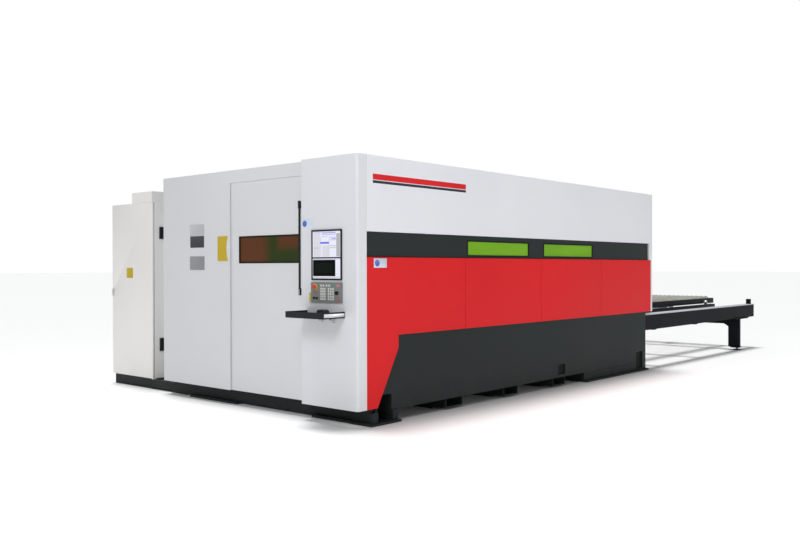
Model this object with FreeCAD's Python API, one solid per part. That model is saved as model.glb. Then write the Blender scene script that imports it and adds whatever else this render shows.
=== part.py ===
import FreeCAD, Part
import math
import os

from FreeCAD import Vector

# Enclosed laser cutting machine with an exchange table and a control cabinet, in millimetres.
# The model is drawn from the hall's near corner on the floor: X runs from the operator end
# towards the exchange table, Y from the long front side to the back, Z up.
# Every node is then moved so that the origin is the middle of the whole machine's footprint.

# ---- driving dimensions: hall ----
hall_length = 5350.0
hall_width = 2850.0
hall_height = 2200.0
skin_bottom = 140.0          # height of the white and red panels' lower edge
panel_thickness = 40.0       # double-skinned side panels
sheet = 12.0                 # stiffened single sheets
seam = 3.0                   # open joint between neighbouring panels
hairline = 1.0               # close joint between panels that meet flush
clear = 0.3                  # air between pieces of different bodies
frame_tube = 60.0            # hall frame's square tube
post_offset = 177.0          # first posts, behind the sliding door's path

# ---- long front side, heights from the floor ----
band_top = 1582.0
band_bottom = 1374.0
red_bottom = 726.0
band_recess = 20.0
band_end_margin = 85.0       # white strip beyond the band at the far end
wrap = 107.0                 # white corner panel's return on the long side
corner_bend = 25.0
column_foot_x = 235.0        # slanting edge of the red column, at its foot
column_knee_x = 494.0        # and at its knee
column_knee_z = 619.0
red_panel_joints = (1422.0, 2727.0, 4027.0)
pane_spans = ((1482.0, 2515.0), (2804.0, 3839.0))
pane_bottom = 1398.0
pane_height = 134.0
pane_thickness = 8.0
pane_recess = 6.0
skirt_recess = 20.0
skirt_thickness = 20.0
skirt_bottom = 105.0
skirt_end = hall_length - 150.0
arch_top = 240.0
arch_radius = 22.0
near_arch = (247.0, 424.0)
far_arch = (hall_length - 410.0, hall_length - 240.0)
far_arch_sill = 15.0
skirt_slot = (3096.0, 3239.0, 137.0, 245.0)

# ---- operator end ----
corner_panel_width = 660.0
door_step = 90.0             # the door side stands this far behind the corner panel
left_panel_edge = 1756.0     # door-side edge of the fixed left panel
header_bottom = hall_height - 117.0
door_gap = 4.0
door_thickness = 40.0
door_overlap = 44.0          # door leaf behind the left panel when shut
door_rail_width = 44.0
door_rail_height = 40.0
door_rail_wall = 6.0
door_rail_slit = 14.0
hanger_thickness = 10.0
hanger_width = 70.0
hanger_inset = 120.0
roller_width = 20.0
door_window_span = (803.0, 1636.0)
door_window_bottom = 1330.0
door_window_height = 250.0
door_pane_thickness = 10.0
door_pane_recess = 8.0
handle_y = 757.0
handle_width = 14.0
handle_depth = 14.0
handle_bottom = 1053.0
handle_length = 810.0
handle_standoff = 32.0
handle_cap = 66.0
handle_cap_lip = 3.0

# ---- controls on the corner panel ----
monitor_span = (170.0, 525.0)
monitor_bottom = 1186.0
monitor_height = 415.0
monitor_depth = 12.0
bezel = 14.0
bezel_depth = 5.0
console_span = (166.0, 529.0)
console_bottom = 1001.0
console_height = 168.0
console_depth = 12.0
console_floor = 2.0          # left behind the bores
mushroom_radius = 18.0
mushroom_height = 14.0
mushroom_collar = 21.0
collar_height = 8.0
mushroom_place = (475.0, 1131.0)
mushroom_press = 5.0
plunger_depth = 4.0          # plunger in the console at rest
button_radius = 11.0
button_height = 9.0
button_press = 3.0
start_place = (501.0, 1084.0)
stop_place = (468.0, 1085.0)
reset_place = (203.0, 1024.0)
selector_radius = 9.0
selector_height = 15.0
selector_disc = 5.0
selector_grip_width = 6.0
selector_grip_margin = 1.0
selector_places = ((488.0, 1038.0), (454.0, 1038.0))
override_radius = 15.0
override_height = 18.0
override_edge = 2.0
pointer_width = 3.0
override_place = (218.0, 1083.0)
tray_span = (142.0, 590.0)
tray_reach = 241.0
tray_bottom = 882.0
tray_height = 52.0
tray_wall = 5.0
tray_bracket_insets = (120.0, 190.0)
tray_bracket_start = 165.0
tray_bracket_drop = 45.0

# ---- base, bed and feet ----
base_tube_width = 250.0
base_tube_pitch = 920.0
base_tube_first = 1175.0
base_tube_count = 4
base_tube_bottom = 20.0
base_tube_height = 100.0
base_tube_wall = 10.0
foot_plate = 20.0
runner_height = 10.0
runner_width = 40.0
runner_inset = 5.0
end_beam_front = 200.0
end_beam_width = 120.0
end_beam_bottom = 10.0
end_beam_link_top = 100.0
corner_foot_plate = (142.0, 506.0)
corner_foot_reach = 20.0     # plate beyond the long side
corner_foot_depth = 237.0
corner_foot_top = 315.0
upright_inset = 33.0         # uprights from the plate's operator end
upright_gap = 7.0            # and from the skirt's knee
upright_front = 5.0
long_foot_start = 3650.0
long_foot_depth = 330.0
long_foot_plate_end = skirt_end + 10.0
end_foot_spans = ((corner_foot_depth, 700.0), (1737.0, 2487.0))
end_foot_front = 150.0
end_foot_margin = 20.0
end_foot_plate = 22.0
end_bolt_radius = 8.0
end_bolt_height = 18.0
end_bolt_inset = (9.0, 30.0)
bed_start = 300.0
bed_end = hall_length - 150.0
bed_beam_width = 320.0
bed_beam_offset = 200.0      # from the hall's long side
bed_beam_bottom = 470.0
bed_beam_top = 880.0
bed_wall = 20.0
bed_leg = 120.0
cross_tube_height = 60.0
cross_tube_top = 470.0

# ---- long axis, gantry and head ----
rail_width = 45.0
rail_height = 40.0
rail_inset = 70.0            # rail centre from the bed beam's outer face
rail_end_margin = 50.0
rail_groove_depth = 5.0
rail_groove = (16.0, 26.0)
rack_offset = 90.0           # rack's near face from the rail centre
ride_height = 15.0           # truck plate above the rail
rack_width = 30.0
rack_height = 35.0
gantry_x = 2640.0            # middle of the gantry beam at rest
gantry_beam_depth = 280.0
gantry_beam_height = 260.0
gantry_wall = 16.0
cross_rail_margin = 60.0
cross_rail_inset = 30.0
truck_length = 520.0
truck_height = 50.0
truck_width = 240.0
bearing_length = 110.0
bearing_side = 18.0
bearing_lift = 12.0
bearing_inset = 10.0
motor_radius = 50.0
motor_height = 260.0
gearbox_side = 110.0
motor_gap = 20.0             # gearbox from the gantry beam
motor_lean = 5.0             # gearbox's middle from the rack's
cross_rail_width = 24.0
cross_rail_depth = 20.0
carriage_width = 200.0
carriage_thickness = 30.0
carriage_gap = 12.0          # plate from the cross rails
carriage_bearing = 60.0
carriage_bearing_side = 14.0
carriage_bearing_gap = 5.0
lift_rail_width = 24.0
lift_rail_depth = 12.0
lift_shelf = 120.0
shelf_thickness = 20.0
carriage_rise = 10.0         # plate's lower edge above the beam's
lift_motor_side = 80.0
lift_motor_height = 150.0
carriage_top_rise = 270.0    # carriage plate above the gantry beam
z_plate_width = 120.0
z_plate_thickness = 35.0
z_plate_height = 380.0
z_plate_rise = 40.0
head_size = 90.0
head_top_rise = 60.0
nozzle_tip = 900.0           # nozzle's lower end at rest
nozzle_length = 60.0
nozzle_radius = 8.0
lens_tube_radius = 32.0
lens_tube_height = 70.0
taper_height = 90.0
taper_step = 8.0
taper_end_radius = 18.0
holder_radius = 14.0
plug_height = 50.0

# ---- pallets, tracks and exchange table ----
upper_rail = 690.0
lower_rail = 510.0
track_ledge = 60.0
track_sheet = 10.0
track_foot = 10.0
track_offset = 520.0         # outer face of the track's web from the long side
track_inner_start = 900.0
track_gap = 4.0              # tracks from the gate's far side
wheel_radius = 30.0
wheel_width = 40.0
wheel_gap = 15.0             # wheel from the pallet's side
axle_end = 4.0
axle_radius = 12.0
axle_clearance = 0.05
pallet_length = 3200.0
pallet_edge = 85.0           # pallet frame's side from the track's web
pallet_side = 50.0
pallet_frame_height = 80.0
pallet_wall = 6.0
pallet_lift = 10.0           # frame's underside above the rail
slat_margin = 60.0
slat_count = 24
slat_thickness = 5.0
slat_height = 75.0
slat_rise = 35.0             # slat tips above the frame
slat_teeth = 20
slat_tooth = 16.0
pallet_1_start = hall_length + 400.0
pallet_2_start = 1130.0
wheel_set_inset = 420.0
table_end = hall_length + 3800.0
table_beam_offset = 30.0
table_beam_width = 120.0
table_beam_bottom = 490.0
table_beam_top = 680.0
table_wall = 8.0
edge_rail = 12.0
edge_rail_lip = 6.0
cross_member_height = 20.0
cross_member_wall = 4.0
cross_member_width = 100.0
cross_member_inset = 70.0    # ends of the cross members from the beams' outer faces
leg_place = table_end - 725.0
leg_thickness = 60.0
leg_width = 168.0
leg_gusset = (185.0, 115.0)    # along the beam under the table and down the plate
leg_flange = 12.0
leg_flange_front = 140.0     # flange on the operator side of the leg plate
leg_flange_length = 520.0
leg_bar_height = 90.0         # deep cross tube between the legs
cross_member_places = (hall_length + 250.0, hall_length + 1600.0, table_end - 130.0)
stud_radius = 12.0
pad_radius = 55.0
pad_height = 12.0
leg_clearance = 50.0         # top of the leg's foot plate
leg_outset = 25.0
leg_foot = (30.0, 50.0)      # foot plate before and behind the leg plate
leg_foot_inset = 40.0
stud_offset = 25.0
stud_length = 78.0
stop_place_x = table_end - 160.0
stop_size = 60.0
stop_inset = 10.0
stop_height = 80.0
drive_x = table_end - 270.0
drive_shaft_radius = 20.0
sprocket_radius = 50.0
sprocket_width = 14.0
sprocket_teeth = 16
drive_z = 590.0
drive_motor_length = 190.0
drive_motor_radius = 58.0
drive_gearbox = 140.0
drive_gearbox_width = 120.0
shaft_bearing_width = 20.0
shaft_bearing_side = 90.0
shaft_end = 30.0
sprocket_offset = 40.0
tooth_gap_radius = 5.0
mount_width = 62.0
mount_reach = 60.0
track_end_gap = 90.0         # tracks from the drive shaft

# ---- far end and back ----
opening_margin = 10.0        # pallet opening beyond the tracks
gate_thickness = 20.0
gate_gap = 5.0               # between the rear panel and the gate
gate_travel = 445.0
gate_height = 450.0
gate_side = 30.0             # gate beyond the pallet opening
guide_outset = 20.0
guide_overlap = 12.0
guide_top = 40.0
guide_bottom = 10.0
guide_room = 2.0
opening_below = 30.0         # pallet opening below the lower track
opening_rise = 200.0         # its upper edge above the upper rail
back_joints = (1793.0, 3540.0)
maintenance_span = (2220.0, 3120.0)
maintenance_bottom = 430.0
maintenance_height = 1650.0
maintenance_hinges = ((600.0, 700.0), (1800.0, 1900.0))
grip_inset = 90.0
grip_width = 30.0
grip_span = (1000.0, 1200.0)
grip_reach = 35.0
grip_bar = 13.0
grip_foot = 20.0
rear_skirt_top = 420.0
scrap_tray_height = 250.0
scrap_wall = 5.0
roof_thickness = 30.0
roof_drop = 5.0
roof_panel_count = 3
tray_gap = 15.0              # scrap trays from the bed legs
tray_side_gap = 20.0         # and from the bed beams

# ---- cabinet ----
cabinet_front = 200.0
cabinet_near = hall_width + 385.0
cabinet_width = 795.0
cabinet_depth = 1500.0
cabinet_bottom = 110.0
cabinet_top = 1990.0
cabinet_wall = 20.0
cabinet_door_thickness = 22.0
vent_span = (430.0, 1070.0)  # louvre pockets in the cabinet's back, from its front
vent_heights = ((330.0, 680.0), (1480.0, 1830.0))
vent_depth = 14.0
hood_width = 390.0
hood_height = 115.0
plinth_inset = 20.0
flap_span = (345.0, 700.0)
flap_bottom = 330.0
flap_height = 1520.0
flap_thickness = 17.0
hinge_span = (288.0, 343.0)
hinge_heights = ((1600.0, 1727.0), (400.0, 537.0))
barrel_radius = 8.0
hinge_pin_radius = 4.0
pivot_radius = 5.0           # pivots of the cabinet door
pivot_depth = 30.0
pivot_lug = 8.0
pivot_lug_reach = 20.0
lock_z = 1050.0
lock_length = 80.0
lock_width = 18.0
lock_depth = 10.0
lock_boss = 10.0
lock_inset = 30.0
lock_spindle = 6.0
source_size = (650.0, 560.0, 820.0)
drives_size = (260.0, 560.0, 700.0)
source_inset = 60.0
drives_gap = 60.0            # drives above the laser source
duct_span = (450.0, 600.0)
duct_bottom = 150.0
duct_height = 90.0

# ---- derived places ----
track_far = hall_width - track_offset
opening_low = lower_rail - track_sheet - opening_below
opening_high = upper_rail + opening_rise
gate_x = hall_length - panel_thickness - gate_gap - gate_thickness
track_stop = gate_x - gate_gap
table_track_start = hall_length - panel_thickness + track_gap
door_x = door_step + sheet + door_gap
cabinet_far = cabinet_near + cabinet_width
truck_low = bed_beam_top + rail_height + ride_height
beam_low = truck_low + truck_height
low_corner = Vector(-tray_reach, -corner_foot_reach, 0.0)
high_corner = Vector(table_end, cabinet_far, hall_height)
shift = Vector(-(low_corner.x + high_corner.x) / 2.0, -(low_corner.y + high_corner.y) / 2.0, 0.0)


def block(x0, x1, y0, y1, z0, z1):
    """Box between two corners."""
    return Part.makeBox(x1 - x0, y1 - y0, z1 - z0, Vector(x0, y0, z0))


def rod(start, direction, radius, length):
    """Round bar from a point."""
    return Part.makeCylinder(radius, length, start, direction)


def mirror_back(shape):
    """The same piece on the hall's other long side."""
    return shape.mirror(Vector(0.0, hall_width / 2.0, 0.0), Vector(0.0, 1.0, 0.0))


def plate_xz(points, y, thickness):
    """Flat plate standing in the XZ plane."""
    corners = [Vector(x, y, z) for x, z in points]
    outline = Part.makePolygon(corners + corners[:1])
    return Part.Face(outline).extrude(Vector(0.0, thickness, 0.0))


def plate_yz(points, x, thickness):
    """Flat plate standing in the YZ plane."""
    corners = [Vector(x, y, z) for y, z in points]
    outline = Part.makePolygon(corners + corners[:1])
    return Part.Face(outline).extrude(Vector(thickness, 0.0, 0.0))


def tube(x0, x1, y0, y1, z0, z1, wall, axis):
    """Rectangular tube with open ends along one axis."""
    gap = {"x": (0.0, wall, wall), "y": (wall, 0.0, wall), "z": (wall, wall, 0.0)}[axis]
    outer = block(x0, x1, y0, y1, z0, z1)
    inner = block(x0 + gap[0], x1 - gap[0], y0 + gap[1], y1 - gap[1], z0 + gap[2], z1 - gap[2])
    return outer.cut(inner)


def join(shapes):
    """One solid out of touching pieces."""
    whole = shapes[0]
    for shape in shapes[1:]:
        whole = whole.fuse(shape)
    return whole.removeSplitter()


def save(node, shapes):
    """Write one node; several shapes stay separate solids."""
    solids = []
    for shape in shapes:
        solids += shape.Solids
    whole = solids[0] if len(solids) == 1 else Part.makeCompound(solids)
    placed = whole.copy()
    placed.translate(shift)
    placed.exportStep(os.path.join("parts", node + ".step"))


def hinge_halves(x, y, low, high):
    """Upright barrel hinge: fixed half with its pin, moving half, and the room of each."""
    up = Vector(0, 0, 1)
    middle = (low + high) / 2.0
    half = high - middle
    pin = rod(Vector(x, y, middle), up, hinge_pin_radius, half)
    fixed = rod(Vector(x, y, low), up, barrel_radius, half).fuse(pin)
    bore = rod(Vector(x, y, middle), up, hinge_pin_radius + axle_clearance, half)
    moving = rod(Vector(x, y, middle + clear), up, barrel_radius, half - clear)
    fixed_room = rod(Vector(x, y, low - clear), up, barrel_radius + clear, half + 2.0 * clear)
    moving_room = rod(Vector(x, y, middle), up, barrel_radius + clear, half + clear)
    return fixed, moving, bore, fixed_room, moving_room


def add_fixed_half(piece, x, y, low, high):
    """The standing piece with the fixed half of a barrel hinge."""
    halves = hinge_halves(x, y, low, high)
    return join([piece.cut(halves[4]), halves[0]])


def add_moving_half(leaf, x, y, low, high):
    """The leaf with the moving half of a barrel hinge."""
    halves = hinge_halves(x, y, low, high)
    return join([leaf.cut(halves[3]), halves[1]]).cut(halves[2])


def rounded_slot(x0, x1, z0, z1, radius, y0, depth):
    """Cutter for an upright opening with round upper corners."""
    body = block(x0, x1, y0, y0 + depth, z0, z1 - radius)
    cap = block(x0 + radius, x1 - radius, y0, y0 + depth, z0, z1)
    left = rod(Vector(x0 + radius, y0, z1 - radius), Vector(0, 1, 0), radius, depth)
    right = rod(Vector(x1 - radius, y0, z1 - radius), Vector(0, 1, 0), radius, depth)
    return join([body, cap, left, right])


# ---- hall panels ----

def make_corner_panel():
    """White bent panel round the near corner, with the return beside the door."""
    front = block(0.0, panel_thickness, 0.0, corner_panel_width, skin_bottom, hall_height)
    side = block(0.0, wrap, 0.0, panel_thickness, skin_bottom, hall_height)
    back = door_x + door_thickness
    jamb = block(0.0, back, corner_panel_width - panel_thickness, corner_panel_width,
                 skin_bottom, hall_height)
    panel = join([front, side, jamb])
    upright = [edge for edge in panel.Edges
               if edge.BoundBox.ZLength > hall_height / 2.0
               and edge.BoundBox.XMax < hairline and edge.BoundBox.YMax < hairline]
    return panel.makeFillet(corner_bend, upright)


def make_left_end_panel():
    """White fixed panel left of the door, one sheet with the header above it."""
    points = [(corner_panel_width + hairline, header_bottom), (left_panel_edge, header_bottom),
              (left_panel_edge, skin_bottom), (hall_width, skin_bottom),
              (hall_width, hall_height), (corner_panel_width + hairline, hall_height)]
    return plate_yz(points, door_step, sheet)


def make_upper_side_panel():
    """White panel above the window band with its tab at the far end."""
    far = hall_length - panel_thickness - hairline
    upper = block(wrap + hairline, far, 0.0, panel_thickness, band_top, hall_height)
    tab = block(hall_length - band_end_margin, far, 0.0, panel_thickness, band_bottom, band_top)
    return join([upper, tab])


def make_window_band():
    """Dark recessed band with the two cut-outs for the viewing panes."""
    band = block(wrap + hairline, hall_length - band_end_margin - hairline,
                 band_recess, panel_thickness, band_bottom + hairline, band_top - hairline)
    for start, end in pane_spans:
        band = band.cut(block(start, end, 0.0, panel_thickness, pane_bottom, pane_bottom + pane_height))
    return band


def make_green_panes():
    """Viewing panes set into the band."""
    front = band_recess + pane_recess
    return [block(start, end, front, front + pane_thickness, pane_bottom, pane_bottom + pane_height)
            for start, end in pane_spans]


def make_red_panels():
    """Red side panels; the first runs down to the foot as a slanting column."""
    top = band_bottom
    joints = list(red_panel_joints) + [hall_length - panel_thickness - hairline + seam]
    first = plate_xz([(wrap + hairline, skin_bottom), (column_foot_x, skin_bottom),
                      (column_knee_x, column_knee_z), (column_knee_x, red_bottom),
                      (joints[0] - seam, red_bottom), (joints[0] - seam, top),
                      (wrap + hairline, top)], 0.0, panel_thickness)
    panels = [first]
    for start, end in zip(joints[:-1], joints[1:]):
        panels.append(block(start, end - seam, 0.0, panel_thickness, red_bottom, top))
    return panels


def make_front_skirt():
    """Dark lower side sheet with the arch of the corner foot and two more cut-outs."""
    slope = (column_foot_x - column_knee_x) / (skin_bottom - column_knee_z)
    arch_edge_x = column_foot_x + slope * (skirt_bottom - skin_bottom)
    points = [(arch_edge_x + hairline, skirt_bottom), (column_knee_x + hairline, column_knee_z),
              (column_knee_x + hairline, red_bottom - hairline), (skirt_end, red_bottom - hairline),
              (skirt_end, skirt_bottom)]
    skirt = plate_xz(points, skirt_recess, skirt_thickness)
    depth = skirt_thickness + skirt_recess
    near = rounded_slot(near_arch[0], near_arch[1], 0.0, arch_top, arch_radius, skirt_recess / 2.0, depth)
    far = rounded_slot(far_arch[0], far_arch[1], 0.0, arch_top, arch_radius, skirt_recess / 2.0, depth)
    left, right, low, high = skirt_slot
    slot = rounded_slot(left, right, low, high, arch_radius, skirt_recess / 2.0, depth)
    return skirt.cut(near).cut(far).cut(slot).Solids


def make_rear_skirt():
    """Dark lower sheet along the back."""
    front = hall_width - skirt_recess - skirt_thickness
    return block(column_knee_x, skirt_end, front, front + skirt_thickness, skirt_bottom, rear_skirt_top)


def make_back_panels():
    """Three white panels along the back; the middle one frames the maintenance door."""
    inner = hall_width - panel_thickness
    edges = [door_x + door_thickness] + list(back_joints) + [hall_length - panel_thickness - hairline + seam]
    panels = []
    for start, end in zip(edges[:-1], edges[1:]):
        panels.append(block(start, end - seam, inner, hall_width, rear_skirt_top + hairline, hall_height))
    left, right = maintenance_span
    high = maintenance_bottom + maintenance_height
    hole = block(left - seam, right + seam, inner, hall_width, maintenance_bottom - seam, high + seam)
    panels[1] = panels[1].cut(hole)
    for low, high_end in maintenance_hinges:
        panels[1] = add_fixed_half(panels[1], left, hall_width, low, high_end)
    corner = block(door_step + sheet, edges[0] - seam, inner, hall_width, skin_bottom, hall_height)
    lower = block(edges[0] - seam, column_knee_x - hairline, inner, hall_width, skin_bottom, rear_skirt_top)
    panels[0] = join([panels[0], block(edges[0] - seam, edges[0], inner, hall_width,
                                       rear_skirt_top + hairline, hall_height), corner, lower])
    return panels


def make_rear_end_panel():
    """White end panel at the table with the pallet opening, cut away round the near table beam."""
    panel = block(hall_length - panel_thickness, hall_length, 0.0, hall_width, skin_bottom, hall_height)
    opening = block(hall_length - panel_thickness, hall_length, track_offset - opening_margin,
                    track_far + opening_margin, opening_low, opening_high)
    corner = block(hall_length - panel_thickness, hall_length, 0.0, table_beam_offset + table_beam_width,
                   skin_bottom, red_bottom)
    return panel.cut(opening).cut(corner)


def make_roof_panels():
    """Three roof panels between the walls."""
    start = door_step + sheet
    end = hall_length - panel_thickness - hairline
    pitch = (end - start + seam) / roof_panel_count
    low = hall_height - roof_drop - roof_thickness
    side = panel_thickness + hairline
    panels = []
    for index in range(roof_panel_count):
        left = start + index * pitch
        panel = block(left, left + pitch - seam, side, hall_width - side, low, low + roof_thickness)
        panels.append(panel)
    notch = block(0.0, door_x + door_thickness + hairline, 0.0, corner_panel_width + hairline, low,
                  hall_height)
    panels[0] = panels[0].cut(notch)
    return panels


def make_hall_frame():
    """Square tubes that carry the panels: posts, sills, roof rails and corner brackets."""
    roof_low = hall_height - roof_drop - roof_thickness
    rail_low = roof_low - frame_tube
    near = panel_thickness
    far = hall_width - panel_thickness - frame_tube
    sill = base_tube_bottom + base_tube_height
    last = skirt_end - frame_tube
    end = hall_length - panel_thickness
    pieces = []
    for y in (near, far):
        pieces.append(block(post_offset, post_offset + frame_tube, y, y + frame_tube, corner_foot_top,
                            rail_low))
        pieces.append(block(last, last + frame_tube, y, y + frame_tube, foot_plate, rail_low))
        pieces.append(block(column_knee_x, last, y, y + frame_tube, sill, sill + frame_tube))
        for x in red_panel_joints:
            pieces.append(block(x, x + frame_tube, y, y + frame_tube, sill + frame_tube, rail_low))
    pieces.append(block(panel_thickness, end, near, near + frame_tube, rail_low, roof_low))
    pieces.append(block(post_offset - frame_tube / 2.0, end, far, far + frame_tube, rail_low, roof_low))
    for x in (post_offset, end - frame_tube):
        pieces.append(block(x, x + frame_tube, near + frame_tube, far, rail_low, roof_low))
    pieces.append(block(panel_thickness, post_offset, near, near + frame_tube, corner_foot_top,
                        corner_foot_top + frame_tube))
    return pieces


def door_rail_floor():
    """Underside of the sliding door's rail."""
    return hall_height - roof_drop - roof_thickness - door_rail_height


def make_door_rail():
    """Channel rail of the sliding door behind the header."""
    start = corner_panel_width + seam
    end = hall_width - panel_thickness
    low = door_rail_floor()
    left = door_step + sheet
    wall = door_rail_wall
    rail = block(left, left + door_rail_width, start, end, low, low + door_rail_height)
    room = block(left + wall, left + door_rail_width - wall, start, end, low + wall,
                 low + door_rail_height - wall)
    middle = left + door_rail_width / 2.0
    slit = block(middle - door_rail_slit / 2.0, middle + door_rail_slit / 2.0, start, end, low, low + wall)
    return rail.cut(room).cut(slit)


# ---- operator end ----

def make_sliding_door():
    """Door leaf with its window cut-out."""
    start = corner_panel_width + seam
    end = left_panel_edge + door_overlap
    top = door_rail_floor() - 2.0 * door_gap
    leaf = block(door_x, door_x + door_thickness, start, end, skin_bottom + seam, top)
    left, right = door_window_span
    hole = block(door_x, door_x + door_thickness, left, right, door_window_bottom,
                 door_window_bottom + door_window_height)
    pieces = [leaf.cut(hole)]
    middle = door_step + sheet + door_rail_width / 2.0
    roller_radius = door_rail_height / 2.0 - door_rail_wall - clear
    roller_z = door_rail_floor() + door_rail_height / 2.0
    for y in (start + hanger_inset, end - hanger_inset - hanger_width):
        pieces.append(block(middle - hanger_thickness / 2.0, middle + hanger_thickness / 2.0, y,
                            y + hanger_width,
                            top, roller_z))
        pieces.append(rod(Vector(middle - roller_width / 2.0, y + hanger_width / 2.0, roller_z),
                          Vector(1, 0, 0),
                          roller_radius, roller_width))
    return join(pieces)


def make_door_window():
    """Amber pane in the door's cut-out."""
    left, right = door_window_span
    front = door_x + door_pane_recess
    return block(front, front + door_pane_thickness, left, right,
                 door_window_bottom, door_window_bottom + door_window_height)


def make_door_handle():
    """Long pull bar on two feet with a wider cap at its top."""
    left = handle_y - handle_width / 2.0
    back = door_x
    front = back - handle_standoff - handle_depth
    top = handle_bottom + handle_length
    bar = block(front, front + handle_depth, left, left + handle_width, handle_bottom, top)
    upper_foot = block(front, back, left, left + handle_width, top - handle_cap, top)
    lower_foot = block(front, back, left, left + handle_width, handle_bottom, handle_bottom + handle_cap)
    cap = block(front - handle_cap_lip, front + handle_depth, left - handle_cap_lip,
                left + handle_width + handle_cap_lip, top - handle_cap, top)
    return join([bar, upper_foot, lower_foot, cap])


def make_monitor():
    """Monitor housing with a recessed screen field."""
    left, right = monitor_span
    top = monitor_bottom + monitor_height
    housing = block(-monitor_depth, 0.0, left, right, monitor_bottom, top)
    field = block(-monitor_depth, -monitor_depth + bezel_depth, left + bezel, right - bezel,
                  monitor_bottom + bezel, top - bezel)
    return housing.cut(field)


def make_console():
    """Operator console with bores for its buttons and knobs."""
    left, right = console_span
    body = block(-console_depth, 0.0, left, right, console_bottom, console_bottom + console_height)
    body = body.fuse(rod(Vector(-console_depth - collar_height, mushroom_place[0], mushroom_place[1]),
                         Vector(1, 0, 0), mushroom_collar, collar_height))
    bores = [(mushroom_place, button_radius)]
    bores += [(place, button_radius + clear) for place in (start_place, stop_place, reset_place)]
    bores += [(place, selector_radius / 2.0 + clear) for place in selector_places]
    bores += [(override_place, selector_radius / 2.0 + clear)]
    for place, radius in bores:
        start = Vector(-console_depth - collar_height, place[0], place[1])
        body = body.cut(rod(start, Vector(1, 0, 0), radius, console_depth + collar_height - console_floor))
    return body


def make_mushroom():
    """Emergency stop head with its plunger in the console's bore."""
    face = -console_depth - collar_height
    place = Vector(face - mushroom_press - clear, mushroom_place[0], mushroom_place[1])
    head = rod(place + Vector(-mushroom_height, 0, 0), Vector(1, 0, 0), mushroom_radius, mushroom_height)
    rim = [edge for edge in head.Edges if edge.BoundBox.XMax < place.x - mushroom_height + hairline]
    head = head.makeFillet(mushroom_height / 3.0, rim)
    plunger = rod(place, Vector(1, 0, 0), button_radius - clear,
                  mushroom_press + collar_height + plunger_depth)
    return join([head, plunger])


def make_button(place):
    """Push button in its bore."""
    start = Vector(-console_depth - button_press - clear, place[0], place[1])
    return rod(start, Vector(1, 0, 0), button_radius, button_height)


def make_selector(place):
    """Selector knob with a grip bar on a round spindle."""
    y, z = place
    face = -console_depth - clear
    disc = rod(Vector(face - selector_disc, y, z), Vector(1, 0, 0), selector_radius, selector_disc)
    half = selector_grip_width / 2.0
    reach = selector_radius - selector_grip_margin
    grip = block(face - selector_height, face - selector_disc, y - half, y + half, z - reach, z + reach)
    spindle = rod(Vector(face, y, z), Vector(1, 0, 0), selector_radius / 2.0, button_height)
    return join([disc, grip, spindle])


def make_override():
    """Round override knob with a flat pointer."""
    y, z = override_place
    face = -console_depth - clear
    knob = rod(Vector(face - override_height, y, z), Vector(1, 0, 0), override_radius, override_height)
    rim = [edge for edge in knob.Edges if edge.BoundBox.XMax < face - override_height + hairline]
    knob = knob.makeFillet(override_edge, rim)
    half = pointer_width / 2.0
    pointer = block(face - override_height - pointer_width, face - override_height, y - half, y + half, z,
                    z + override_radius - pointer_width)
    spindle = rod(Vector(face, y, z), Vector(1, 0, 0), selector_radius / 2.0, button_height)
    return join([knob, pointer, spindle])


def make_tray():
    """Shallow keyboard tray with a front lip and framed ends, on two brackets."""
    left, right = tray_span
    top = tray_bottom + tray_height
    tray = block(-tray_reach, 0.0, left, right, tray_bottom, top)
    inside = block(-tray_reach + tray_wall, 0.0, left + tray_wall, right - tray_wall,
                   tray_bottom + tray_wall, top)
    tray = tray.cut(inside)
    pieces = [tray]
    for y in (left + tray_bracket_insets[0], right - tray_bracket_insets[1]):
        points = [(-tray_reach + tray_bracket_start, tray_bottom), (0.0, tray_bottom),
                  (0.0, tray_bottom - tray_bracket_drop)]
        pieces.append(plate_xz(points, y, tray_wall))
    return join(pieces)


# ---- base and bed ----

def tube_starts():
    """Left edges of the base tubes."""
    return [base_tube_first + index * base_tube_pitch for index in range(base_tube_count)]


def make_base():
    """Cross tubes with open ends, which double as fork pockets, and the two end beams."""
    low = base_tube_bottom
    high = low + base_tube_height
    parts = []
    for index, x in enumerate(tube_starts()):
        start = panel_thickness if index < base_tube_count - 1 else long_foot_depth + seam
        foot_start = max(start, bed_beam_offset)
        beam = tube(x, x + base_tube_width, start, hall_width - start, low, high, base_tube_wall, "y")
        runners = [block(left, left + runner_width, bed_beam_offset + bed_beam_width, track_far, high,
                         high + runner_height - clear)
                   for left in (x + runner_inset, x + base_tube_width - runner_inset - runner_width)]
        feet = [block(x, x + base_tube_width, y, y + base_tube_width, 0.0, low)
                for y in (foot_start, hall_width - foot_start - base_tube_width)]
        parts.append(join([beam] + runners + feet))
    end = end_beam_front + end_beam_width
    near_beam = block(end_beam_front, end, corner_foot_depth, hall_width - corner_foot_depth,
                      end_beam_bottom, skin_bottom)
    plates = [block(end_foot_front, end + end_foot_margin, start, far, 0.0, end_foot_plate)
              for start, far in end_foot_spans]
    bolts = [rod(Vector(end_foot_front + end_bolt_inset[0], far - end_bolt_inset[1], end_foot_plate),
                 Vector(0, 0, 1), end_bolt_radius, end_bolt_height)
             for start, far in end_foot_spans]
    link = block(end_beam_front, end, hall_width - upright_front, cabinet_near + plinth_inset, foot_plate,
                 end_beam_link_top)
    return parts + [join([near_beam] + plates + bolts), link]


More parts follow.
